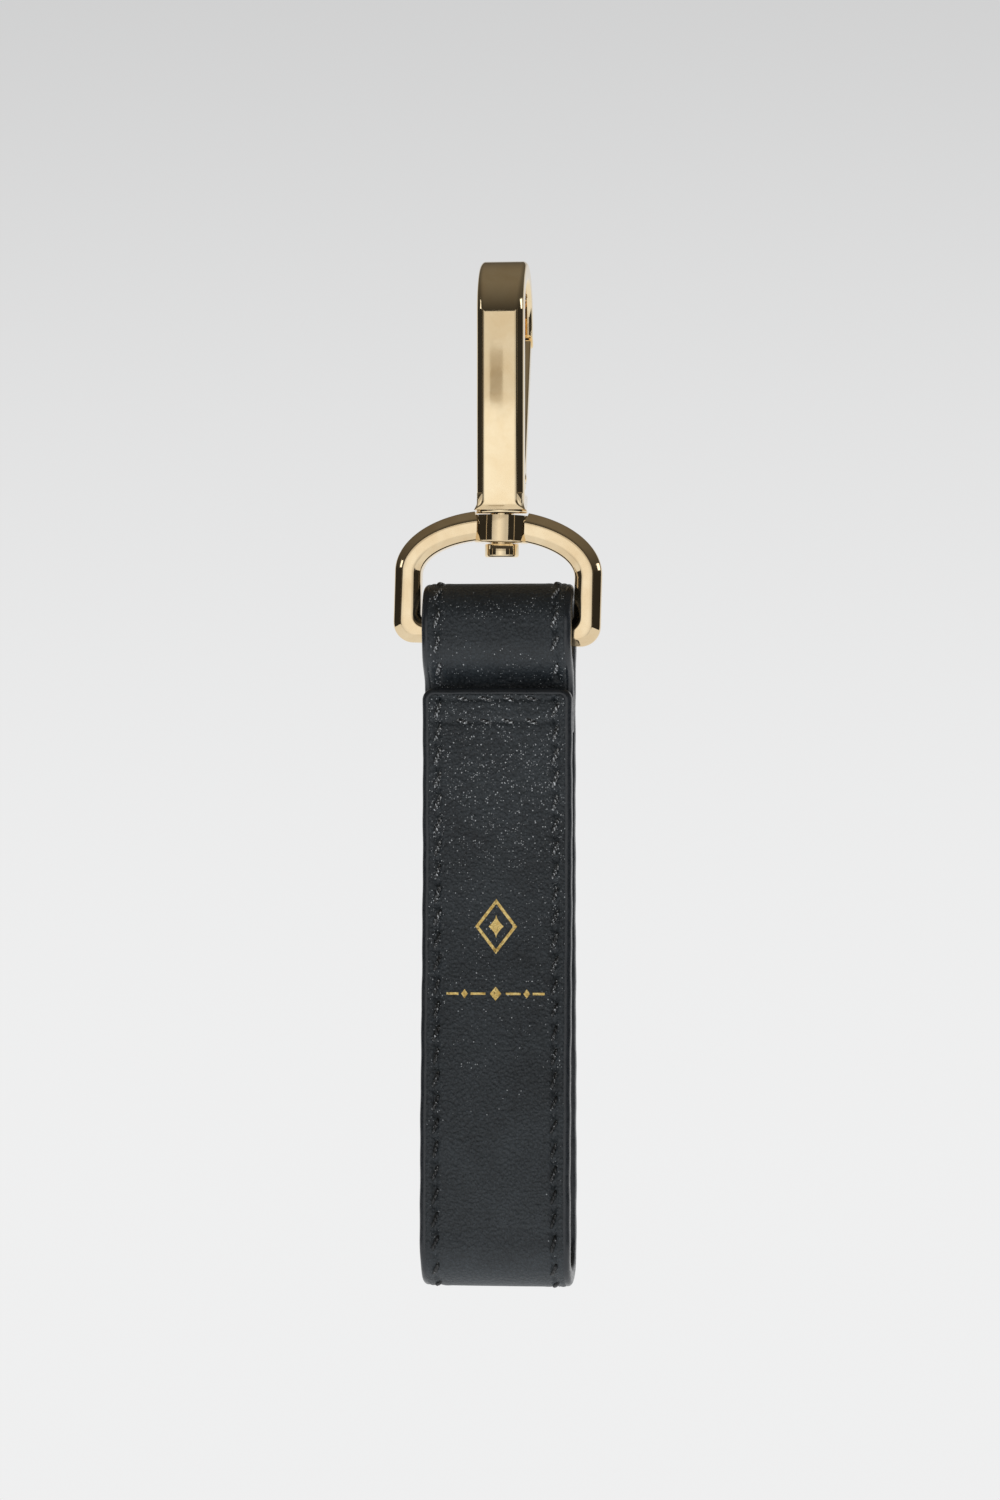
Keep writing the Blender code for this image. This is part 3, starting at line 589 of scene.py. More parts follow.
def hook_bar():
    """The J: spine, arch and nose, with the front face widening where the spine meets the base."""
    rings = []
    flare_top = -37.3 * MM
    for i in range(13):
        share = i / 12
        z = SPINE_END_Z + (flare_top - SPINE_END_Z) * share
        chamfer = OUTER_CHAMFER * (0.12 + 0.88 * math.sin(0.5 * math.pi * share) ** 1.2)
        widen = BASE_FLARE * (1 - math.sin(0.5 * math.pi * min(1.0, 1.25 * share)))
        rings.append(bar_section((SPINE_FACE_Y, z), (INNER_FRONT_Y, z), chamfer, widen))
    steps = 72
    arch_centre = (SPINE_FACE_Y + ARCH_RADIUS, ARCH_CENTRE_Z)
    outer_arc = arc(arch_centre, (ARCH_RADIUS, ARCH_RADIUS), math.pi, 0, steps)
    inner_arc = arc((0, ARCH_CENTRE_Z), (-INNER_FRONT_Y, -ARCH_CENTRE_Z), math.pi, 0, steps)
    for i, (outer, inner) in enumerate(zip(outer_arc, inner_arc)):
        chamfer = OUTER_CHAMFER * (1 - CROWN_EASE * math.sin(math.pi * i / steps))
        rings.append(bar_section(outer, inner, chamfer))
    for share in (0.94, 1.0):
        nose_outer = (outer_arc[-1][0], ARCH_CENTRE_Z + share * (NOSE_OUTER_END_Z - ARCH_CENTRE_Z))
        nose_inner = (inner_arc[-1][0], ARCH_CENTRE_Z + share * (NOSE_INNER_END_Z - ARCH_CENTRE_Z))
        rings.append(bar_section(nose_outer, nose_inner, OUTER_CHAMFER))
    return loft(rings)


def make_hook(gold):
    """Hook body: the J, a round base flange, a base block and two lugs for the gate's pin."""
    ease = 0.16 * MM
    flange = turned((
        (3.4 * MM, BASE_FLANGE_TOP_Z + 0.25 * MM), (FLANGE_NECK_RADIUS - 0.1 * MM, BASE_FLANGE_TOP_Z),
        (FLANGE_NECK_RADIUS, BASE_FLANGE_TOP_Z - 0.1 * MM), (FLANGE_NECK_RADIUS, SPINE_END_Z + 0.02 * MM),
        (BASE_FLANGE_RADIUS - 0.1 * MM, SPINE_END_Z - 0.02 * MM), (BASE_FLANGE_RADIUS, SPINE_END_Z - 0.12 * MM),
        (BASE_FLANGE_RADIUS, BASE_BOTTOM_Z + 0.22 * MM),
        (BASE_FLANGE_RADIUS - 0.07 * MM, BASE_BOTTOM_Z + 0.07 * MM),
        (BASE_FLANGE_RADIUS - 0.22 * MM, BASE_BOTTOM_Z),
    ), (0, SWIVEL_Y, 0))
    front = SWIVEL_Y - BASE_BLOCK_FRONT
    back = SWIVEL_Y + BASE_BLOCK_BACK
    block = eased(prism((
        (front, BASE_BLOCK_TOP_Z), (front, BASE_BLOCK_BOTTOM_Z), (SWIVEL_Y + 4.1 * MM, BASE_BLOCK_BOTTOM_Z),
        (back, BASE_BLOCK_TOP_Z - 1.2 * MM), (back, BASE_BLOCK_TOP_Z - 0.4 * MM),
        (back - 0.4 * MM, BASE_BLOCK_TOP_Z),
    ), BASE_BLOCK_HALF_WIDTH), 0.3 * MM)
    lug_outline = arc((PIN_Y, PIN_Z), (LUG_RADIUS, LUG_RADIUS), 0, math.pi, 40)
    lug_outline.append((PIN_Y - LUG_RADIUS, BASE_BLOCK_TOP_Z - 0.6 * MM))
    lug_outline.append((PIN_Y + LUG_RADIUS, BASE_BLOCK_TOP_Z - 0.6 * MM))
    lugs = eased(prism(lug_outline, LUG_OUTER_HALF_WIDTH), ease, angle=math.radians(60))
    slot_floor = BASE_BLOCK_TOP_Z + 0.1 * MM
    slot = prism((
        (INNER_FRONT_Y + 0.05 * MM, PIN_Z + 3 * MM), (PIN_Y + 4 * MM, PIN_Z + 3 * MM),
        (PIN_Y + 4 * MM, slot_floor), (INNER_FRONT_Y + 0.05 * MM, slot_floor),
    ), LUG_INNER_HALF_WIDTH)
    bore = turned((
        (PIN_RADIUS + 0.5 * RUNNING_GAP, 3 * MM), (PIN_RADIUS + 0.5 * RUNNING_GAP, -3 * MM),
    ), (0, PIN_Y, PIN_Z), "X", 48)
    shank_bore = turned((
        (SHANK_RADIUS + RUNNING_GAP, SHANK_TOP_Z + GAP), (SHANK_RADIUS + RUNNING_GAP, BASE_BOTTOM_Z - 1 * MM),
    ), (0, SWIVEL_Y, 0))
    mesh = combined(hook_bar(), (
        ("UNION", flange), ("UNION", block), ("UNION", lugs),
        ("DIFFERENCE", slot), ("DIFFERENCE", bore), ("DIFFERENCE", shank_bore),
    ))
    add_piece("hook_body_polished", mesh, gold, "hook", ("hook_body",))


# ---------------------------------------------------------------- gate

def gate_axis():
    """Unit (y, z) vectors along the closed gate, pin to nose, and square to it, towards the back."""
    nose_y = SPINE_FACE_Y + 2 * ARCH_RADIUS - 0.5 * NOSE_DEPTH
    nose_z = 0.5 * (NOSE_OUTER_END_Z + NOSE_INNER_END_Z)
    along = (Vector((nose_y, nose_z)) - Vector((PIN_Y, PIN_Z))).normalized()
    return along, Vector((along[1], -along[0]))


def gate_outline():
    """The gate's side outline about its pin: a round eye, two straight faces and the slanted tip."""
    along, back = gate_axis()
    cut_outer = Vector((SPINE_FACE_Y + 2 * ARCH_RADIUS, NOSE_OUTER_END_Z))
    cut_inner = Vector((SPINE_FACE_Y + 2 * ARCH_RADIUS - NOSE_DEPTH, NOSE_INNER_END_Z))
    cut = (cut_inner - cut_outer).normalized()
    away = Vector((cut[1], -cut[0]))
    if away.dot(along) > 0:
        away = -away
    start = cut_outer + 0.6 * GAP * away - Vector((PIN_Y, PIN_Z))

    def tip(offset):
        """Where the face at this offset from the gate's axis meets the slanted tip line."""
        reach = (offset - start.dot(back)) / cut.dot(back)
        return start + reach * cut

    turn = math.atan2(back[1], back[0])
    points = [Vector(p) for p in arc((0, 0), (GATE_EYE_RADIUS, GATE_EYE_RADIUS), turn, turn - math.pi, 48)]
    points += [Vector(p) for p in waist_curve(along, back, -1)]
    points.append(tip(-GATE_HALF_THICKNESS))
    points.append(tip(GATE_HALF_THICKNESS))
    points += [Vector(p) for p in reversed(waist_curve(along, back, 1))]
    return [(p[0], p[1]) for p in points]


def waist_curve(along, back, side):
    """The sweep from the gate's eye into one of its straight faces."""
    wide = side * GATE_EYE_RADIUS * back
    narrow = side * GATE_HALF_THICKNESS * back
    curve = bezier(wide, wide + 2.2 * MM * along, narrow + 2.4 * MM * along, narrow + 5.0 * MM * along, 10)
    return curve[1:]


def make_gate(gold, steel):
    """Gate lever forked round the lugs, its pin, and the torsion coil between the lugs."""
    along, back = gate_axis()
    reach = GATE_SLOT_REACH * along
    wide = 3.2 * MM * back
    low = -3.0 * MM * along
    slot_outline = [(p[0], p[1]) for p in (low - wide, reach - wide, reach + wide, low + wide)]
    slot = eased(prism(slot_outline, GATE_SLOT_HALF_WIDTH, (PIN_Y, PIN_Z)), 0.5 * MM)
    hole = turned((
        (PIN_RADIUS + 0.5 * RUNNING_GAP, 5 * MM), (PIN_RADIUS + 0.5 * RUNNING_GAP, -5 * MM),
    ), (0, PIN_Y, PIN_Z), "X", 48)
    mesh = combined(prism(gate_outline(), GATE_HALF_WIDTH, (PIN_Y, PIN_Z)),
                    (("DIFFERENCE", slot), ("DIFFERENCE", hole)), 0.35 * MM, math.radians(50))
    add_piece("gate_polished", mesh, gold, "gate", ("gate",))

    end = PIN_HALF_LENGTH
    dome = [(PIN_RADIUS * math.cos(a), end - 0.3 * MM + 0.3 * MM * math.sin(a))
            for a in (1.45, 1.2, 0.9, 0.6, 0.3, 0.0)]
    profile = dome + [(radius, -height) for radius, height in reversed(dome)]
    pin = turned(profile, (0, PIN_Y, PIN_Z), "X", 48)
    add_piece("gate_pin_polished", pin, gold, "hook", ("gate_pin",))
    add_piece("gate_spring_wire", spring_coil(along, back), steel, "hook", ("gate_spring",))


def tube(points, radius, sides):
    """A mesh tube through 3-D points, each ring square to the path."""
    rings = []
    normal = None
    for i, point in enumerate(points):
        ahead = Vector(points[min(i + 1, len(points) - 1)])
        behind = Vector(points[max(i - 1, 0)])
        along = (ahead - behind).normalized()
        if normal is None:
            normal = along.orthogonal().normalized()
        normal = (normal - along * normal.dot(along)).normalized()
        across = along.cross(normal)
        ring = []
        for k in range(sides):
            angle = 2 * math.pi * k / sides
            ring.append(Vector(point) + radius * (math.cos(angle) * normal + math.sin(angle) * across))
        rings.append(ring)
    return loft(rings)


def spring_coil(along, back):
    """Torsion coil about the pin, one leg along the gate's inner face and one towards the spine."""
    start_angle = math.atan2(-back[1], -back[0])
    sweep = 2 * math.pi * SPRING_TURNS + (math.pi - start_angle)
    steps = 40 * SPRING_TURNS
    half_run = 0.5 * SPRING_TURNS * SPRING_PITCH
    gate_leg = SPRING_LEG * along - (GATE_HALF_THICKNESS + GAP + 2 * SPRING_WIRE_RADIUS) * back
    coil = []
    for i in range(steps + 1):
        angle = start_angle + sweep * i / steps
        x = -half_run + 2 * half_run * i / steps
        coil.append((x, SPRING_COIL_RADIUS * math.cos(angle), SPRING_COIL_RADIUS * math.sin(angle)))
    spine_side = INNER_FRONT_Y - PIN_Y + GAP + 2 * SPRING_WIRE_RADIUS
    points = [(-half_run, gate_leg[0], gate_leg[1])] + coil + [(half_run, spine_side, SPRING_LEG)]
    return tube([(x, y + PIN_Y, z + PIN_Z) for x, y, z in points], SPRING_WIRE_RADIUS, 12)


# ---------------------------------------------------------------- swivel and ring

def make_rivet(gold):
    """Swivel rivet: a low round head under the ring's boss and a shank up into the hook's base."""
    ease = 0.4 * MM
    profile = [
        (SHANK_RADIUS - 0.2 * MM, SHANK_TOP_Z), (SHANK_RADIUS, SHANK_TOP_Z - 0.2 * MM),
        (SHANK_RADIUS, RIVET_HEAD_TOP_Z), (RIVET_HEAD_RADIUS - 0.15 * MM, RIVET_HEAD_TOP_Z),
        (RIVET_HEAD_RADIUS - 0.04 * MM, RIVET_HEAD_TOP_Z - 0.04 * MM),
        (RIVET_HEAD_RADIUS, RIVET_HEAD_TOP_Z - 0.15 * MM),
    ]
    ease_centre = (RIVET_HEAD_RADIUS - ease, RIVET_HEAD_BOTTOM_Z + ease)
    profile += arc(ease_centre, (ease, ease), 0, -0.5 * math.pi, 10)
    profile.append((0.6 * MM, RIVET_HEAD_BOTTOM_Z))
    mesh = turned(profile, (0, SWIVEL_Y, 0))
    add_piece("swivel_rivet_polished", mesh, gold, "hook", ("swivel_rivet",))


def ring_contours():
    """Matching outer and inner (x, z) outlines of the D, once round."""
    steps = 110
    outer_radii = (RING_OUTER_HALF_WIDTH, RING_OUTER_RISE)
    inner_radii = (RING_INNER_HALF_WIDTH, RING_INNER_RISE)
    outer = arc((RING_CENTRE_X, RING_OUTER_SPRING_Z), outer_radii, math.pi, 0, steps)
    inner = arc((RING_CENTRE_X, RING_INNER_SPRING_Z), inner_radii, math.pi, 0, steps)
    for side, start in ((1, 0.0), (-1, -0.5 * math.pi)):
        end = start - 0.5 * math.pi
        outer_x = RING_CENTRE_X + side * (RING_OUTER_HALF_WIDTH - RING_OUTER_CORNER)
        inner_x = RING_CENTRE_X + side * (RING_INNER_HALF_WIDTH - RING_INNER_CORNER)
        outer_centre = (outer_x, RING_BOTTOM_Z + RING_OUTER_CORNER)
        inner_centre = (inner_x, RING_BAR_TOP_Z + RING_INNER_CORNER)
        outer += arc(outer_centre, (RING_OUTER_CORNER, RING_OUTER_CORNER), start, end, 14)
        inner += arc(inner_centre, (RING_INNER_CORNER, RING_INNER_CORNER), start, end, 14)
    return outer, inner


def ring_section(outer, inner):
    """The ring's section between an outer and an inner (x, z) point: eight faces, soft creases."""
    outer = Vector(outer)
    inner = Vector(inner)
    inward = (inner - outer).normalized()
    width = (inner - outer).length
    cut = min(RING_CHAMFER, 0.36 * width)
    depth = RING_HALF_DEPTH
    shoulder = depth - cut
    bevel = min(RING_INNER_BEVEL_WIDTH, 0.34 * width)
    inner_shoulder = depth - RING_INNER_BEVEL_DEPTH
    rim = depth - RING_RIM_DEPTH
    corners = (
        (cut, -rim), (cut + RING_RIM_WIDTH, -depth), (width - bevel, -depth), (width, -inner_shoulder),
        (width, inner_shoulder), (width - bevel, depth), (cut + RING_RIM_WIDTH, depth), (cut, rim),
        (0, shoulder), (0, -shoulder),
    )
    ring = []
    for reach, y in rounded(corners, 0.34 * MM):
        point = outer + reach * inward
        ring.append((point[0], y, point[1]))
    return ring


def make_ring(gold):
    """D-ring with the bored boss that it swivels on, hanging a little askew."""
    pivot_z = 0.5 * (BOSS_TOP_Z + BOSS_BOTTOM_Z)
    half = 0.5 * (BOSS_TOP_Z - BOSS_BOTTOM_Z)
    ease = 0.35 * MM
    outer, inner = ring_contours()
    hoop = loft([ring_section(a, b) for a, b in zip(outer, inner)], closed=True)
    side = []
    for t in range(1, 8):
        swell = BOSS_SWELL * math.sin(math.pi * t / 8)
        side.append((BOSS_RADIUS + swell, pivot_z + half - (2 * half - ease) * t / 8))
    foot = arc((BOSS_RADIUS - ease, pivot_z - half + ease), (ease, ease), 0, -0.5 * math.pi, 5)
    crown = [(BOSS_RADIUS - ease, pivot_z + half + ease), (BOSS_RADIUS, pivot_z + half)]
    boss = turned(crown + side + foot, segments=120)
    seat_radius = BASE_FLANGE_RADIUS + FLANGE_CLEARANCE
    seat = turned(((seat_radius, pivot_z + 2 * half), (seat_radius, pivot_z + half)), segments=120)
    bore_radius = SHANK_RADIUS + RUNNING_GAP
    bore = turned(((bore_radius, pivot_z + 2 * half), (bore_radius, pivot_z - 2 * half)))
    mesh = combined(hoop, (("UNION", boss), ("DIFFERENCE", seat), ("DIFFERENCE", bore)))
    cos_tilt = math.cos(RING_TILT)
    sin_tilt = math.sin(RING_TILT)
    for vert in mesh.vertices:
        x = vert.co.x
        z = vert.co.z - pivot_z
        vert.co.x = x * cos_tilt + z * sin_tilt
        vert.co.z = pivot_z - x * sin_tilt + z * cos_tilt
        vert.co.y += SWIVEL_Y
    mesh.update()
    add_piece("d_ring_polished", mesh, gold, "ring", ("d_ring",))


# ---------------------------------------------------------------- strap

class StrapLine:
    """The band's middle line, from its front end to its tucked end, by distance along it."""

    def __init__(self):
        fold_front = (FOLD_CENTRE_Y - FOLD_RADIUS, FOLD_CENTRE_Z)
        fold_back = (FOLD_CENTRE_Y + FOLD_RADIUS, FOLD_CENTRE_Z)
        wrap_side_z = WRAP_CENTRE_Z - 0.4 * MM
        line = [(-STACK_STEP, FRONT_END_Z), (-STACK_STEP, -80 * MM)]
        line += bezier((-STACK_STEP, LAYERS_PART_Z), (-STACK_STEP, -116 * MM),
                       (fold_front[0], -132 * MM), fold_front, 120)
        line += arc((FOLD_CENTRE_Y, FOLD_CENTRE_Z), (FOLD_RADIUS, FOLD_RADIUS), math.pi, 2 * math.pi, 90)[1:]
        line += bezier(fold_back, (fold_back[0], -134 * MM),
                       (STACK_STEP, -112 * MM), (STACK_STEP, LAYERS_PART_Z), 120)[1:]
        line += bezier((STACK_STEP, -69 * MM), (STACK_STEP, -65 * MM),
                       (WRAP_RADIUS, -62 * MM), (WRAP_RADIUS, wrap_side_z), 40)
        line += arc((0, WRAP_CENTRE_Z), (WRAP_RADIUS, WRAP_RADIUS), 0, math.pi, 80)
        line += bezier((-WRAP_RADIUS, WRAP_END_Z), (-WRAP_RADIUS, WRAP_END_Z - 6.0 * MM),
                       (0, WRAP_END_Z - 4.0 * MM), (0, WRAP_END_Z - 10.2 * MM), 60)
        line += [(0, TUCKED_END_Z)]
        points = np.array(line)
        points[:, 0] += SWIVEL_Y
        run = np.concatenate(([0], np.cumsum(np.linalg.norm(np.diff(points, axis=0), axis=1))))
        self.length = run[-1]
        self.s = np.linspace(0, self.length, 2600)
        y = np.interp(self.s, run, points[:, 0])
        z = np.interp(self.s, run, points[:, 1])
        for _ in range(12):
            y[1:-1] = 0.25 * y[:-2] + 0.5 * y[1:-1] + 0.25 * y[2:]
            z[1:-1] = 0.25 * z[:-2] + 0.5 * z[1:-1] + 0.25 * z[2:]
        along_y = np.gradient(y, self.s)
        along_z = np.gradient(z, self.s)
        size = np.hypot(along_y, along_z)
        self.y = y
        self.z = z
        self.along_y = along_y / size
        self.along_z = along_z / size
        self.fold = self.s[np.argmin(z)]
        self.crown = self.s[np.argmax(z)]

    def at(self, s, v):
        """The (y, z) places at distances s along the line and v out of the loop."""
        y = np.interp(s, self.s, self.y)
        z = np.interp(s, self.s, self.z)
        out_y = np.interp(s, self.s, self.along_z)
        out_z = -np.interp(s, self.s, self.along_y)
        return y + v * out_y, z + v * out_z

    def axes(self, s):
        """Unit vectors along the line and out of the loop, in 3-D."""
        ay = float(np.interp(s, self.s, self.along_y))
        az = float(np.interp(s, self.s, self.along_z))
        return Vector((0, ay, az)), Vector((0, az, -ay))

    def where_z(self, z, start, end):
        """The distance along the line, between two distances, where it is at a height."""
        inside = (self.s >= start) & (self.s <= end)
        near = np.argmin(np.abs(self.z[inside] - z))
        return float(self.s[inside][near])


line = StrapLine()
FACE_SEAM_START = 1.8 * MM
FACE_SEAM_END = line.where_z(-66.8 * MM, line.crown, line.length)
LINING_SEAM_START = line.where_z(TUCKED_END_Z - 1.2 * MM, 0, line.fold)
LINING_SEAM_END = line.where_z(TUCKED_END_Z - 1.2 * MM, line.fold, line.crown)
ROW_STATIONS = [FRONT_END_Z - z for z in ROW_ZS] + [line.where_z(z, line.fold, line.crown) for z in ROW_ZS]


def bell(distance, width):
    """A smooth bump of height 1 about zero."""
    return np.exp(-(distance / width) ** 2)


def edge_distance(x, s):
    """How far inside the band's outline a point is, with its front corners rounded."""
    plain = np.minimum(HALF_WIDTH - np.abs(x), s)
    corner_x = np.abs(x) - (HALF_WIDTH - END_CORNER)
    corner_s = END_CORNER - s
    in_corner = (corner_x > 0) & (corner_s > 0)
    return np.where(in_corner, END_CORNER - np.hypot(corner_x, corner_s), plain)


def to_nearest_hole(run, start):
    """Distance to the nearest needle hole of a seam that starts at a place."""
    phase = (run - start) / STITCH_PITCH
    return (phase - np.round(phase)) * STITCH_PITCH


def coat_level(edge):
    """How high the edge paint's surface stands at a distance inside the outline."""
    inside = np.clip((COAT_ARC_INSET - edge) / COAT_ARC_RADIUS, 0, 1)
    return COAT_ARC_LEVEL + COAT_ARC_RADIUS * np.sqrt(1 - inside ** 2)


def surface(x, s, is_face):
    """Height of the leather's outer skin above the band's middle: crease, seams, holes and slow waves."""
    x, s = np.broadcast_arrays(np.asarray(x, float), np.asarray(s, float))
    edge = edge_distance(x, s)
    side = HALF_WIDTH - np.abs(x)
    level = np.full(x.shape, HALF_THICKNESS)
    level = level + 0.10 * MM * (1 - (x / HALF_WIDTH) ** 2)
    level = level - 0.07 * MM * bell(edge - 1.02 * MM, 0.2 * MM) + 0.04 * MM * bell(edge - 1.5 * MM, 0.35 * MM)
    start = FACE_SEAM_START if is_face else LINING_SEAM_START
    end = FACE_SEAM_END if is_face else LINING_SEAM_END
    sewn = (s > start - 0.4 * MM) & (s < end + 0.4 * MM)
    hole = to_nearest_hole(s, start)
    seam = bell(side - SEAM_INSET, 0.55 * MM)
    level = level - sewn * 0.16 * MM * seam
    level = level - sewn * 0.30 * MM * bell(side - SEAM_INSET, 0.42 * MM) * bell(hole, 0.42 * MM)
    level = level + sewn * 0.05 * MM * bell(side - SEAM_INSET - 1.3 * MM, 0.6 * MM)
    level = level + sewn * 0.04 * MM * bell(side - SEAM_INSET + 0.95 * MM, 0.4 * MM)
    if is_face:
        for station in ROW_STATIONS:
            along = (np.abs(x) < ROW_HALF_LENGTH + 0.3 * MM) * bell(s - station, 0.5 * MM)
            row_hole = to_nearest_hole(x, 0.5 * STITCH_PITCH)
            level = level - 0.15 * MM * along
            level = level - 0.28 * MM * along * bell(row_hole, 0.42 * MM) * bell(s - station, 0.5 * MM)
    waves = np.sin(0.31 * s / MM + 0.9 * np.sin(0.17 * x / MM)) * np.sin(0.24 * x / MM + 0.7)
    waves = waves + 0.6 * np.sin(0.83 * s / MM + 1.3 + 0.35 * x / MM)
    level = level + 0.012 * MM * waves
    under_coat = coat_level(edge) - 0.05 * MM
    return np.where(edge < 0.95 * MM, np.minimum(level, under_coat), level)


def column_places():
    """Where the skin's columns stand across the band: close together at the crease and the seams."""
    from_edge = (0.28, 0.45, 0.62, 0.78, 0.88, 0.96, 1.04, 1.12, 1.24, 1.45, 1.75, 2.0, 2.2, 2.36, 2.5, 2.62,
                 2.74, 2.86, 3.0, 3.16, 3.36, 3.65, 4.1, 4.8, 5.7, 6.7, 7.8, 9.0, 10.3)
    left = [d * MM - HALF_WIDTH for d in from_edge]
    return np.array(left + [0.0] + [-x for x in reversed(left)])


def ply_mesh(is_face):
    """One ply as a closed band: its modelled skin outside, a plain flat side against the other ply."""
    sign = 1 if is_face else -1
    columns = column_places()
    inset = 0.28 * MM
    runs = [inset]
    step = STITCH_PITCH / 10
    while runs[-1] + step < line.length - inset:
        early = runs[-1] < END_CORNER + 1 * MM
        runs.append(runs[-1] + (0.4 * step if early else step))
    runs[-1] = line.length - inset
    rings = []
    for s in runs:
        rest = max(END_CORNER - s, 0.0)
        shrink = END_CORNER - math.sqrt(max(END_CORNER ** 2 - rest ** 2, 0.0))
        scale = (HALF_WIDTH - inset - min(shrink, END_CORNER)) / (HALF_WIDTH - inset)
        x = columns * scale
        skin = surface(x, np.full(x.shape, s), is_face)
        y, z = line.at(np.full(x.shape, s), sign * skin)
        top = list(zip(x, y, z))
        flat_x = np.array([x[-1], 0.5 * x[-1], 0.0, 0.5 * x[0], x[0]])
        fy, fz = line.at(np.full(flat_x.shape, s), np.full(flat_x.shape, sign * 0.03 * MM))
        rings.append(top + list(zip(flat_x, fy, fz)))
    return loft(rings)


def coat_outline():
    """The band's outline in the flat, once round: (x, s, outward x, outward s)."""
    far = line.length
    small = 0.6 * MM
    points = []
    side_runs = np.linspace(far - small, END_CORNER, 520)
    points += [(-HALF_WIDTH, s, -1.0, 0.0) for s in side_runs]
    for i in range(1, 13):
        a = 0.5 * math.pi * i / 13
        out = (-math.cos(a), -math.sin(a))
        x = -(HALF_WIDTH - END_CORNER) + END_CORNER * out[0]
        points.append((x, END_CORNER + END_CORNER * out[1], *out))
    for x in np.linspace(-(HALF_WIDTH - END_CORNER), HALF_WIDTH - END_CORNER, 40):
        points.append((x, 0.0, 0.0, -1.0))
    for i in range(1, 13):
        a = 0.5 * math.pi * (1 - i / 13)
        out = (math.cos(a), -math.sin(a))
        points.append((HALF_WIDTH - END_CORNER + END_CORNER * out[0], END_CORNER + END_CORNER * out[1], *out))
    points += [(HALF_WIDTH, s, 1.0, 0.0) for s in reversed(side_runs)]
    for sign in (1, -1):
        for i in range(1, 5):
            a = 0.5 * math.pi * (i / 5 if sign > 0 else 1 - i / 5)
            out = (sign * math.cos(a), math.sin(a))
            points.append((sign * (HALF_WIDTH - small) + small * out[0], far - small + small * out[1], *out))
    return points


def coat_section():
    """The paint's section, (inset, level): round shoulders, a slightly bulged side, and a hollow back."""
    centre = (-COAT_ARC_INSET, COAT_ARC_LEVEL)
    upper = arc(centre, (COAT_ARC_RADIUS, COAT_ARC_RADIUS), math.radians(104), 0, 9)
    outer = upper + [(0.05 * MM, 0.3 * MM), (0.07 * MM, 0.0), (0.05 * MM, -0.3 * MM)]
    outer += [(u, -v) for u, v in reversed(upper)]
    thin = 0.16 * MM
    inner_radius = COAT_ARC_RADIUS - thin
    inner = arc(centre, (inner_radius, inner_radius), math.radians(104), 0, 5)
    back = [(u, -v) for u, v in inner] + list(reversed(inner))
    return outer, back


def coat_mesh():
    """Edge paint all round the band, wrapped over both plies' edges."""
    outer, back = coat_section()
    rings = []
    for x, s, out_x, out_s in coat_outline():
        ring = []
        wobble = 0.025 * MM * (math.sin(0.9 * s / MM) + math.sin(0.37 * s / MM + x / MM))
        for u, v in outer + back:
            px = x + out_x * (u + wobble)
            ps = s + out_s * (u + wobble)
            y, z = line.at(ps, v)
            ring.append((px, float(y), float(z)))
        rings.append(ring)
    return loft(rings, closed=True)


# ---------------------------------------------------------------- stitches

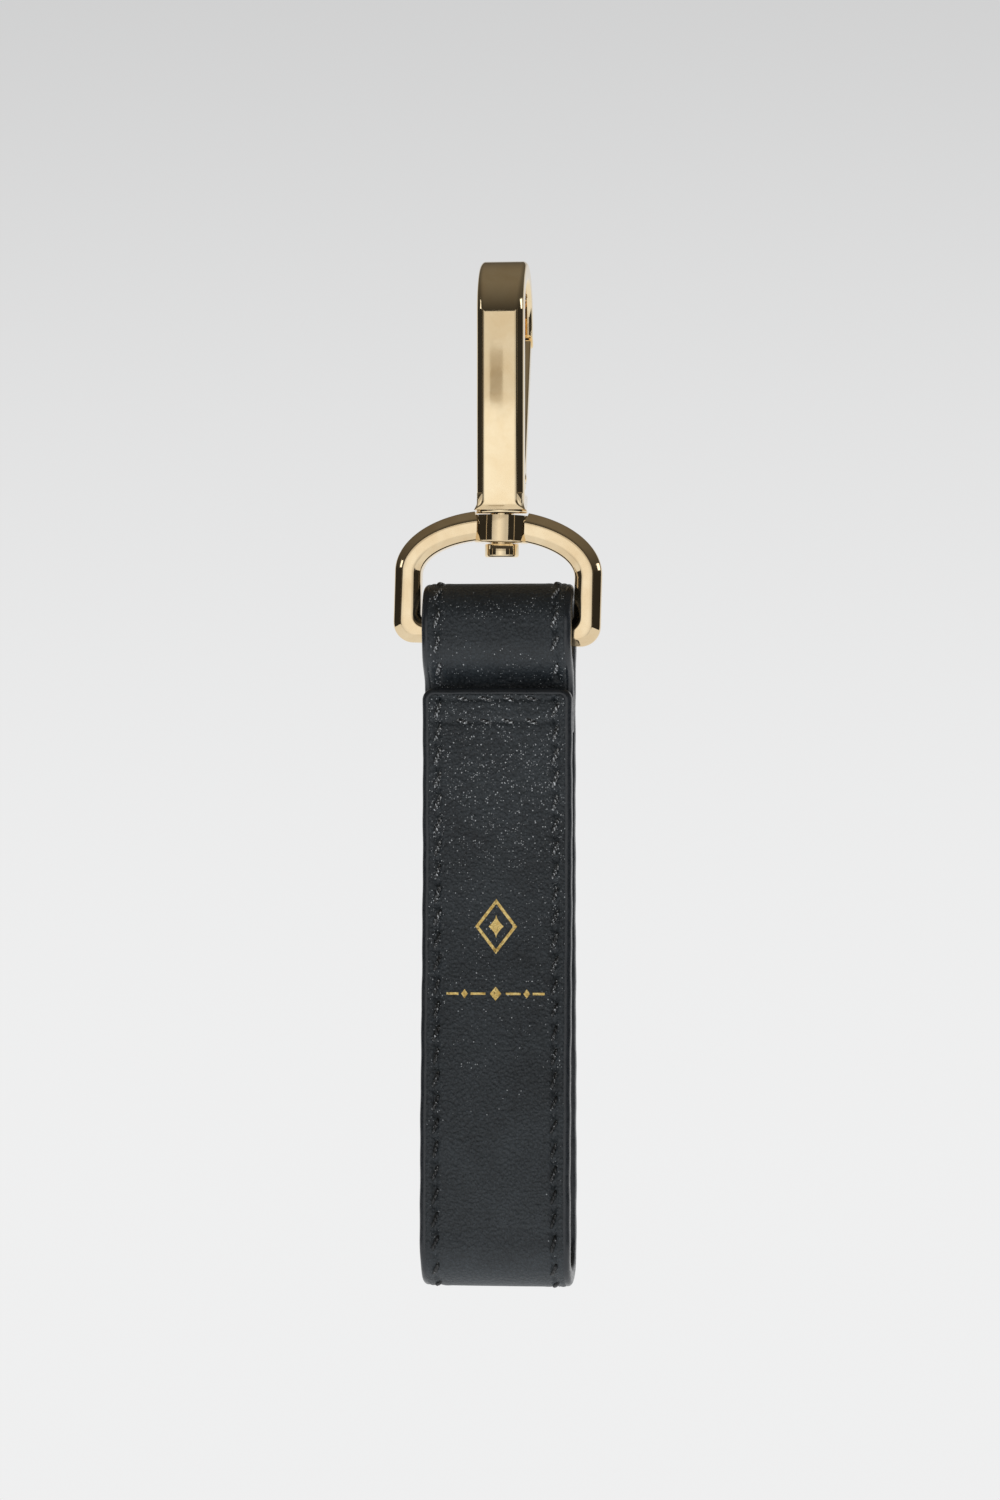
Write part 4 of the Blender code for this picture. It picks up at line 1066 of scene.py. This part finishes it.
def stitch_tree():
    """Geometry Nodes: one arched, tapering strand of thread on every point, turned by its attributes."""
    tree = bpy.data.node_groups.new("sewn_stitches", "GeometryNodeTree")
    face = tree.interface
    face.new_socket("Geometry", in_out="OUTPUT", socket_type="NodeSocketGeometry")
    face.new_socket("Geometry", in_out="INPUT", socket_type="NodeSocketGeometry")
    sizes = {}
    for name, default in (("Stitch Length", STITCH_LENGTH), ("Thread Radius", THREAD_RADIUS),
                          ("Rise", 0.2 * MM), ("Dive", 0.45 * MM)):
        sizes[name] = face.new_socket(name, in_out="INPUT", socket_type="NodeSocketFloat")
        sizes[name].default_value = default
    seed = face.new_socket("Seed", in_out="INPUT", socket_type="NodeSocketInt")
    seed.default_value = 5
    paint = face.new_socket("Thread", in_out="INPUT", socket_type="NodeSocketMaterial")
    nodes = tree.nodes
    links = tree.links
    start = nodes.new("NodeGroupInput")
    end = nodes.new("NodeGroupOutput")

    def operate(kind, operation, a, b):
        node = nodes.new(kind)
        node.operation = operation
        for socket, value in zip(node.inputs, (a, b)):
            if value is None:
                continue
            if isinstance(value, (int, float, tuple)):
                socket.default_value = value
            else:
                links.new(value, socket)
        return node.outputs[0]

    def named(name, kind):
        node = nodes.new("GeometryNodeInputNamedAttribute")
        node.data_type = kind
        node.inputs["Name"].default_value = name
        return node.outputs["Attribute"]

    points = 11
    strand = nodes.new("GeometryNodeCurvePrimitiveLine")
    strand.inputs["Start"].default_value = (0, -0.5, 0)
    strand.inputs["End"].default_value = (0, 0.5, 0)
    cut = nodes.new("GeometryNodeResampleCurve")
    cut.inputs["Count"].default_value = points
    links.new(strand.outputs["Curve"], cut.inputs["Curve"])
    share = nodes.new("GeometryNodeSplineParameter").outputs["Factor"]
    store_run = nodes.new("GeometryNodeStoreNamedAttribute")
    store_run.data_type = "FLOAT"
    store_run.inputs["Name"].default_value = "run"
    links.new(cut.outputs["Curve"], store_run.inputs["Geometry"])
    links.new(share, store_run.inputs["Value"])
    centred = operate("ShaderNodeMath", "MULTIPLY_ADD", share, 2.0)
    centred.node.inputs[2].default_value = -1.0
    squared = operate("ShaderNodeMath", "POWER", operate("ShaderNodeMath", "ABSOLUTE", centred, None), 4.0)
    drop = operate("ShaderNodeMath", "MULTIPLY", squared,
                   operate("ShaderNodeMath", "ADD", start.outputs["Rise"], start.outputs["Dive"]))
    lift = operate("ShaderNodeMath", "SUBTRACT", start.outputs["Rise"], drop)
    run_y = operate("ShaderNodeMath", "MULTIPLY", operate("ShaderNodeMath", "SUBTRACT", share, 0.5),
                    start.outputs["Stitch Length"])
    place = nodes.new("ShaderNodeCombineXYZ")
    links.new(run_y, place.inputs["Y"])
    links.new(lift, place.inputs["Z"])
    shape = nodes.new("GeometryNodeSetPosition")
    links.new(store_run.outputs["Geometry"], shape.inputs["Geometry"])
    links.new(place.outputs["Vector"], shape.inputs["Position"])
    circle = nodes.new("GeometryNodeCurvePrimitiveCircle")
    circle.inputs["Resolution"].default_value = 8
    links.new(start.outputs["Thread Radius"], circle.inputs["Radius"])
    store_turn = nodes.new("GeometryNodeStoreNamedAttribute")
    store_turn.data_type = "FLOAT"
    store_turn.inputs["Name"].default_value = "turn"
    links.new(circle.outputs["Curve"], store_turn.inputs["Geometry"])
    links.new(nodes.new("GeometryNodeSplineParameter").outputs["Factor"], store_turn.inputs["Value"])
    skin = nodes.new("GeometryNodeCurveToMesh")
    skin.inputs["Fill Caps"].default_value = True
    links.new(store_turn.outputs["Geometry"], skin.inputs["Profile Curve"])
    radius = nodes.new("GeometryNodeSetCurveRadius")
    taper = operate("ShaderNodeMath", "SUBTRACT", 1.0, operate("ShaderNodeMath", "MULTIPLY", squared, 0.45))
    links.new(shape.outputs["Geometry"], radius.inputs["Curve"])
    links.new(taper, radius.inputs["Radius"])
    links.new(radius.outputs["Curve"], skin.inputs["Curve"])
    if "Scale" in skin.inputs:
        links.new(taper, skin.inputs["Scale"])

    turn = nodes.new("FunctionNodeAxesToRotation")
    turn.primary_axis = "Z"
    turn.secondary_axis = "Y"
    links.new(named("up", "FLOAT_VECTOR"), turn.inputs["Primary Axis"])
    links.new(named("along", "FLOAT_VECTOR"), turn.inputs["Secondary Axis"])
    jitter = nodes.new("FunctionNodeRandomValue")
    jitter.data_type = "FLOAT_VECTOR"
    jitter.inputs["Min"].default_value = (-0.05, -0.03, -0.10)
    jitter.inputs["Max"].default_value = (0.05, 0.03, 0.10)
    links.new(start.outputs["Seed"], jitter.inputs["Seed"])
    shake = nodes.new("FunctionNodeEulerToRotation")
    links.new(jitter.outputs["Value"], shake.inputs["Euler"])
    both = nodes.new("FunctionNodeRotateRotation")
    both.rotation_space = "LOCAL"
    links.new(turn.outputs["Rotation"], both.inputs["Rotation"])
    links.new(shake.outputs["Rotation"], both.inputs["Rotate By"])
    size = nodes.new("FunctionNodeRandomValue")
    size.data_type = "FLOAT"
    size.inputs[2].default_value = 0.93
    size.inputs[3].default_value = 1.07
    links.new(start.outputs["Seed"], size.inputs["Seed"])
    copies = nodes.new("GeometryNodeInstanceOnPoints")
    links.new(start.outputs["Geometry"], copies.inputs["Points"])
    links.new(skin.outputs["Mesh"], copies.inputs["Instance"])
    links.new(both.outputs["Rotation"], copies.inputs["Rotation"])
    links.new(size.outputs[1], copies.inputs["Scale"])
    real = nodes.new("GeometryNodeRealizeInstances")
    links.new(copies.outputs["Instances"], real.inputs["Geometry"])
    finish = nodes.new("GeometryNodeSetMaterial")
    links.new(real.outputs["Geometry"], finish.inputs["Geometry"])
    links.new(start.outputs["Thread"], finish.inputs["Material"])
    links.new(finish.outputs["Geometry"], end.inputs["Geometry"])
    return tree, paint.identifier, seed.identifier


def sew(name, places, tree_info, thread, seed, replaces):
    """A run of stitches, one on each (point, along, up) place, as one piece on the strap."""
    tree, paint_id, seed_id = tree_info
    mesh = bpy.data.meshes.new(name + "_holes")
    mesh.from_pydata([tuple(p) for p, _, _ in places], [], [])
    for key, index in (("along", 1), ("up", 2)):
        values = mesh.attributes.new(key, "FLOAT_VECTOR", "POINT")
        values.data.foreach_set("vector", [c for place in places for c in place[index]])
    holes = bpy.data.objects.new(name + "_holes", mesh)
    bpy.context.scene.collection.objects.link(holes)
    step = holes.modifiers.new("stitches", "NODES")
    step.node_group = tree
    step[paint_id] = thread
    step[seed_id] = seed
    graph = bpy.context.evaluated_depsgraph_get()
    made = bpy.data.meshes.new_from_object(holes.evaluated_get(graph))
    made.name = name
    bpy.data.objects.remove(holes, do_unlink=True)
    add_strap_piece(name, made, thread, replaces, math.radians(60))


def seam_places(x, start, end, sign):
    """Stitch places down one edge seam, on the face (sign 1) or the lining (sign -1)."""
    places = []
    count = int((end - start) / STITCH_PITCH)
    for i in range(count):
        s = start + (i + 0.5) * STITCH_PITCH
        level = float(surface(x, s, sign > 0)) - 0.02 * MM
        y, z = line.at(s, sign * level)
        along, out = line.axes(s)
        up = sign * out
        lean = math.cos(STITCH_SLANT) * along + sign * math.sin(STITCH_SLANT) * Vector((-1, 0, 0))
        places.append((Vector((x, float(y), float(z))), lean, up))
    return places


def row_places(station):
    """Stitch places of a row straight across the band."""
    places = []
    count = int(2 * ROW_HALF_LENGTH / STITCH_PITCH)
    along, up = line.axes(station)
    for i in range(count):
        x = (i + 0.5 - 0.5 * count) * STITCH_PITCH
        level = float(surface(x, station, True)) - 0.02 * MM
        y, z = line.at(station, level)
        lean = math.cos(STITCH_SLANT) * Vector((1, 0, 0)) + math.sin(STITCH_SLANT) * along
        places.append((Vector((x, float(y), float(z))), lean, up))
    return places


# ---------------------------------------------------------------- foil ornament

def foil_point(x, s, lift):
    """A point just above the face's skin."""
    level = float(surface(x, s, True)) + lift
    y, z = line.at(s, level)
    return (x, float(y), float(z))


def foil_mesh(patches):
    """Thin closed foil patches from lists of matching (x, s) edges, one each side of the patch."""
    verts = []
    faces = []
    for left, right, closed in patches:
        base = len(verts)
        count = len(left)
        for (lx, ls), (rx, rs) in zip(left, right):
            verts += [foil_point(lx, ls, -FOIL_UNDER), foil_point(rx, rs, -FOIL_UNDER),
                      foil_point(rx, rs, FOIL_OVER), foil_point(lx, ls, FOIL_OVER)]
        last = count if closed else count - 1
        for i in range(last):
            a = base + 4 * i
            b = base + 4 * ((i + 1) % count)
            for k in range(4):
                m = (k + 1) % 4
                faces.append((a + k, a + m, b + m, b + k))
        if not closed:
            faces.append((base, base + 1, base + 2, base + 3))
            end = base + 4 * (count - 1)
            faces.append((end + 3, end + 2, end + 1, end))
    mesh = bpy.data.meshes.new("foil")
    mesh.from_pydata(verts, [], faces)
    return outward(mesh)


def lozenge_frame(centre_s, half_width, half_height, line_width):
    """Outer and inner edges of a lozenge frame, subdivided to follow the leather."""
    outer = []
    inner = []
    slope = math.hypot(half_width, half_height)
    inner_width = half_width - line_width * slope / half_height
    inner_height = half_height - line_width * slope / half_width
    corners = ((1, 0), (0, 1), (-1, 0), (0, -1))
    for i in range(4):
        a = corners[i]
        b = corners[(i + 1) % 4]
        for k in range(14):
            t = k / 14
            cx = a[0] + (b[0] - a[0]) * t
            cs = a[1] + (b[1] - a[1]) * t
            outer.append((cx * half_width, centre_s + cs * half_height))
            inner.append((cx * inner_width, centre_s + cs * inner_height))
    return outer, inner, True


def star_patch(centre_x, centre_s, half_width, half_height, waist):
    """A four-pointed star as a patch between its left and right edges."""
    left = []
    right = []
    steps = 12
    for i in range(steps + 1):
        t = -1 + 2 * i / steps
        reach = (1 - abs(t)) ** waist * half_width + 0.01 * MM
        left.append((centre_x - reach, centre_s + t * half_height))
        right.append((centre_x + reach, centre_s + t * half_height))
    return left, right, False


def bar_patch(x0, x1, centre_s, half_height):
    """A straight bar across the band as a patch."""
    upper = []
    lower = []
    steps = max(2, int(abs(x1 - x0) / (0.4 * MM)))
    for i in range(steps + 1):
        x = x0 + (x1 - x0) * i / steps
        upper.append((x, centre_s - half_height))
        lower.append((x, centre_s + half_height))
    return upper, lower, False


def make_foil(foil):
    """A stamped ornament: a lozenge frame with a four-pointed star, and a rule of bars and diamonds."""
    lozenge_s = line.where_z(LOZENGE_Z, 0, line.fold)
    frame_patches = [
        lozenge_frame(lozenge_s, LOZENGE_HALF_WIDTH, LOZENGE_HALF_HEIGHT, LOZENGE_LINE),
        star_patch(0, lozenge_s, 1.25 * MM, 1.9 * MM, 1.7),
    ]
    add_strap_piece("foil_lozenge_stamp", foil_mesh(frame_patches), foil, ("foil_lozenge",))
    rule_s = line.where_z(RULE_Z, 0, line.fold)
    patches = [star_patch(0, rule_s, 0.95 * MM, 1.15 * MM, 1.0)]
    for side in (-1, 1):
        patches.append(bar_patch(side * 1.7 * MM, side * 4.2 * MM, rule_s, RULE_HALF_HEIGHT))
        patches.append(star_patch(side * 5.2 * MM, rule_s, 0.55 * MM, 0.75 * MM, 1.0))
        patches.append(bar_patch(side * 6.2 * MM, side * 8.2 * MM, rule_s, RULE_HALF_HEIGHT))
    add_strap_piece("foil_rule_stamp", foil_mesh(patches), foil, ("foil_rule",))


def make_strap():
    """Both plies, the painted edge, every seam and the foil ornament."""
    # The last argument scales the painted glints: full on the face, faint on the lining.
    face_skin = leather("black_grained_leather", FACE_LIGHT, FACE_DARK, 0.42, 1.4, 1.0)
    lining_skin = leather("black_lining_leather", LINING_LIGHT, LINING_DARK, 0.55, 0.7, 0.1)
    thread = sewing_thread()
    crease = math.radians(70)
    add_strap_piece("strap_face_leather", ply_mesh(True), face_skin, ("strap_face",), crease)
    add_strap_piece("strap_lining_leather", ply_mesh(False), lining_skin,
                    ("strap_lining",), crease)
    add_strap_piece("strap_edge_paint", coat_mesh(), edge_paint(), (), math.radians(50))
    tree_info = stitch_tree()
    seam_x = HALF_WIDTH - SEAM_INSET
    seed = 11
    for side, word in ((-1, "left"), (1, "right")):
        face_run = seam_places(side * seam_x, FACE_SEAM_START, FACE_SEAM_END, 1)
        lining_run = seam_places(side * seam_x, LINING_SEAM_START, LINING_SEAM_END, -1)
        sew(f"face_stitches_{word}", face_run, tree_info, thread, seed, (f"face_seam_{word}",))
        sew(f"lining_stitches_{word}", lining_run, tree_info, thread, seed + 1, (f"lining_seam_{word}",))
        seed += 2
    rows = ("front_row_upper", "front_row_lower", "back_row_upper", "back_row_lower")
    for station, node in zip(ROW_STATIONS, rows):
        sew(f"{node}_stitches", row_places(station), tree_info, thread, seed, (node,))
        seed += 1
    make_foil(stamped_foil())


# ---------------------------------------------------------------- studio

CAMERA_YAW = math.radians(5.8)
CAMERA_SIDE = -0.32 * MM
CAMERA_DISTANCE = 0.6548
CAMERA_Z = -0.07925
CAMERA_LENS = 93.6


def make_camera():
    """Camera level with the strap's upper half, a little to the object's right."""
    data = bpy.data.cameras.new("camera")
    data.lens = CAMERA_LENS
    data.sensor_width = 36.0
    data.clip_start = 0.01
    data.clip_end = 20.0
    camera = bpy.data.objects.new("camera", data)
    bpy.context.scene.collection.objects.link(camera)
    camera.location = (
        CAMERA_DISTANCE * math.sin(CAMERA_YAW) + CAMERA_SIDE * math.cos(CAMERA_YAW),
        SWIVEL_Y - CAMERA_DISTANCE * math.cos(CAMERA_YAW) + CAMERA_SIDE * math.sin(CAMERA_YAW),
        CAMERA_Z,
    )
    camera.rotation_euler = (0.5 * math.pi, 0, CAMERA_YAW)
    bpy.context.scene.camera = camera


def glow(name, colour, strength, fade=0.0):
    """An emission material for a light panel, dimmer towards its left and right ends."""
    made = bpy.data.materials.new(name)
    made.use_nodes = True
    tree = made.node_tree
    tree.nodes.clear()
    out = tree.nodes.new("ShaderNodeOutputMaterial")
    shine = tree.nodes.new("ShaderNodeEmission")
    shine.inputs["Color"].default_value = (*colour, 1.0)
    shine.inputs["Strength"].default_value = strength
    tree.links.new(shine.outputs["Emission"], out.inputs["Surface"])
    if fade:
        where = tree.nodes.new("ShaderNodeTexCoord")
        split = tree.nodes.new("ShaderNodeSeparateXYZ")
        tree.links.new(where.outputs["Object"], split.inputs["Vector"])
        away = maths(tree, "ABSOLUTE", maths(tree, "ADD", split.outputs["X"], 0.11), 0.0)
        faded = remap(tree, away, 0.06, 0.5, strength, strength * (1 - fade))
        tree.links.new(faded, shine.inputs["Strength"])
    return made


def panel(name, radius, azimuths, heights, strength, colour=(1, 1, 1), fade=0.0):
    """A curved light panel round the object, between two azimuths in degrees and two heights in metres."""
    rows = []
    steps = 16
    for z in heights:
        row = []
        for i in range(steps + 1):
            a = math.radians(azimuths[0] + (azimuths[1] - azimuths[0]) * i / steps)
            row.append((radius * math.sin(a), SWIVEL_Y - radius * math.cos(a), z))
        rows.append(row)
    verts = rows[0] + rows[1]
    faces = [(i, i + 1, steps + 2 + i, steps + 1 + i) for i in range(steps)]
    mesh = bpy.data.meshes.new(name)
    mesh.from_pydata(verts, [], faces)
    mesh.materials.append(glow(name, colour, strength, fade))
    light = bpy.data.objects.new(name, mesh)
    bpy.context.scene.collection.objects.link(light)
    light.visible_camera = False


def make_backdrop():
    """A seamless sweep: floor, curve and wall, glowing rather than lit, its painted light graded with height
    and brightest low down.
    """
    made, tree, shader, where = new_material("painted_light_sweep")
    tree.nodes.remove(shader)
    out = next(n for n in tree.nodes if n.type == "OUTPUT_MATERIAL")
    shine = tree.nodes.new("ShaderNodeEmission")
    split = tree.nodes.new("ShaderNodeSeparateXYZ")
    tree.links.new(where, split.inputs["Vector"])
    # Painted light: the glow grades with height, standing in for how light falls on the wall.
    height = remap(tree, split.outputs["Z"], -300.0, 500.0, 0.0, 1.0)
    ramp = tree.nodes.new("ShaderNodeValToRGB")
    ramp.color_ramp.interpolation = "B_SPLINE"
    stops = ((0.0, 0.870), (0.25, 0.845), (0.50, 0.760), (0.72, 0.665), (0.95, 0.560))
    ramp.color_ramp.elements.remove(ramp.color_ramp.elements[0])
    for i, (place, level) in enumerate(stops):
        stop = ramp.color_ramp.elements[0] if i == 0 else ramp.color_ramp.elements.new(place)
        stop.position = place
        stop.color = (level, level * 1.002, level * 1.004, 1.0)
    tree.links.new(height, ramp.inputs["Fac"])
    tree.links.new(ramp.outputs["Color"], shine.inputs["Color"])
    tree.links.new(shine.outputs["Emission"], out.inputs["Surface"])
    curve = arc((0.6, 0.18), (0.8, 0.8), -0.5 * math.pi, 0, 24)
    profile = [(-3.0, -0.62), (0.6, -0.62)] + curve[1:] + [(1.4, 0.66)]
    verts = []
    for y, z in profile:
        verts += [(-3.0, y, z), (3.0, y, z)]
    faces = [(2 * i, 2 * i + 1, 2 * i + 3, 2 * i + 2) for i in range(len(profile) - 1)]
    mesh = bpy.data.meshes.new("sweep")
    mesh.from_pydata(verts, [], faces)
    mesh.materials.append(made)
    mesh.shade_smooth()
    sweep = bpy.data.objects.new("sweep", mesh)
    bpy.context.scene.collection.objects.link(sweep)


def make_studio():
    """Glowing sweep with painted light, a broad soft panel in front, small side strips, and a dim room."""
    make_backdrop()
    panel("front_panel", 1.1, (-36, 32), (-0.60, 0.088), 1.05, fade=0.35)
    panel("front_panel_top", 1.1, (-36, 32), (0.088, 0.19), 0.78, (1.0, 0.97, 0.93), 0.35)
    panel("mid_card", 0.69, (-8.3, -4.9), (0.048, 0.068), 0.45, (1.0, 0.90, 0.76))
    panel("right_strip", 1.2, (86, 97), (0.155, 0.40), 1.9)
    panel("left_strip", 1.2, (-94, -84), (0.155, 0.38), 1.7)
    panel("left_line", 1.2, (-63, -60), (-0.5, 0.2), 0.5, (1.0, 0.85, 0.65))
    panel("right_line", 1.2, (57, 60), (-0.5, 0.2), 0.4, (1.0, 0.85, 0.65))
    world = bpy.data.worlds.new("dim_room")
    world.use_nodes = True
    bpy.context.scene.world = world
    tree = world.node_tree
    back = tree.nodes["Background"]
    where = tree.nodes.new("ShaderNodeTexCoord")
    split = tree.nodes.new("ShaderNodeSeparateXYZ")
    tree.links.new(where.outputs["Generated"], split.inputs["Vector"])
    ramp = tree.nodes.new("ShaderNodeValToRGB")
    ramp.color_ramp.elements[0].position = 0.1
    ramp.color_ramp.elements[0].color = (0.030, 0.028, 0.025, 1)
    ramp.color_ramp.elements[1].position = 0.95
    ramp.color_ramp.elements[1].color = (0.175, 0.155, 0.125, 1)
    tree.links.new(split.outputs["Z"], ramp.inputs["Fac"])
    seen = tree.nodes.new("ShaderNodeLightPath")
    pale = mix_colour(tree, seen.outputs["Is Camera Ray"], ramp.outputs["Color"], (0.862, 0.864, 0.866))
    tree.links.new(pale, back.inputs["Color"])
    bpy.context.scene.view_settings.view_transform = "Standard"
    bpy.context.scene.view_settings.look = "None"


make_camera()
gold = polished_gold()
make_hook(gold)
make_gate(gold, spring_wire())
make_rivet(gold)
make_ring(polished_gold("ring_gold", (0.86, 0.70, 0.46), (0.76, 0.58, 0.35), 0.045))
make_strap()
make_studio()
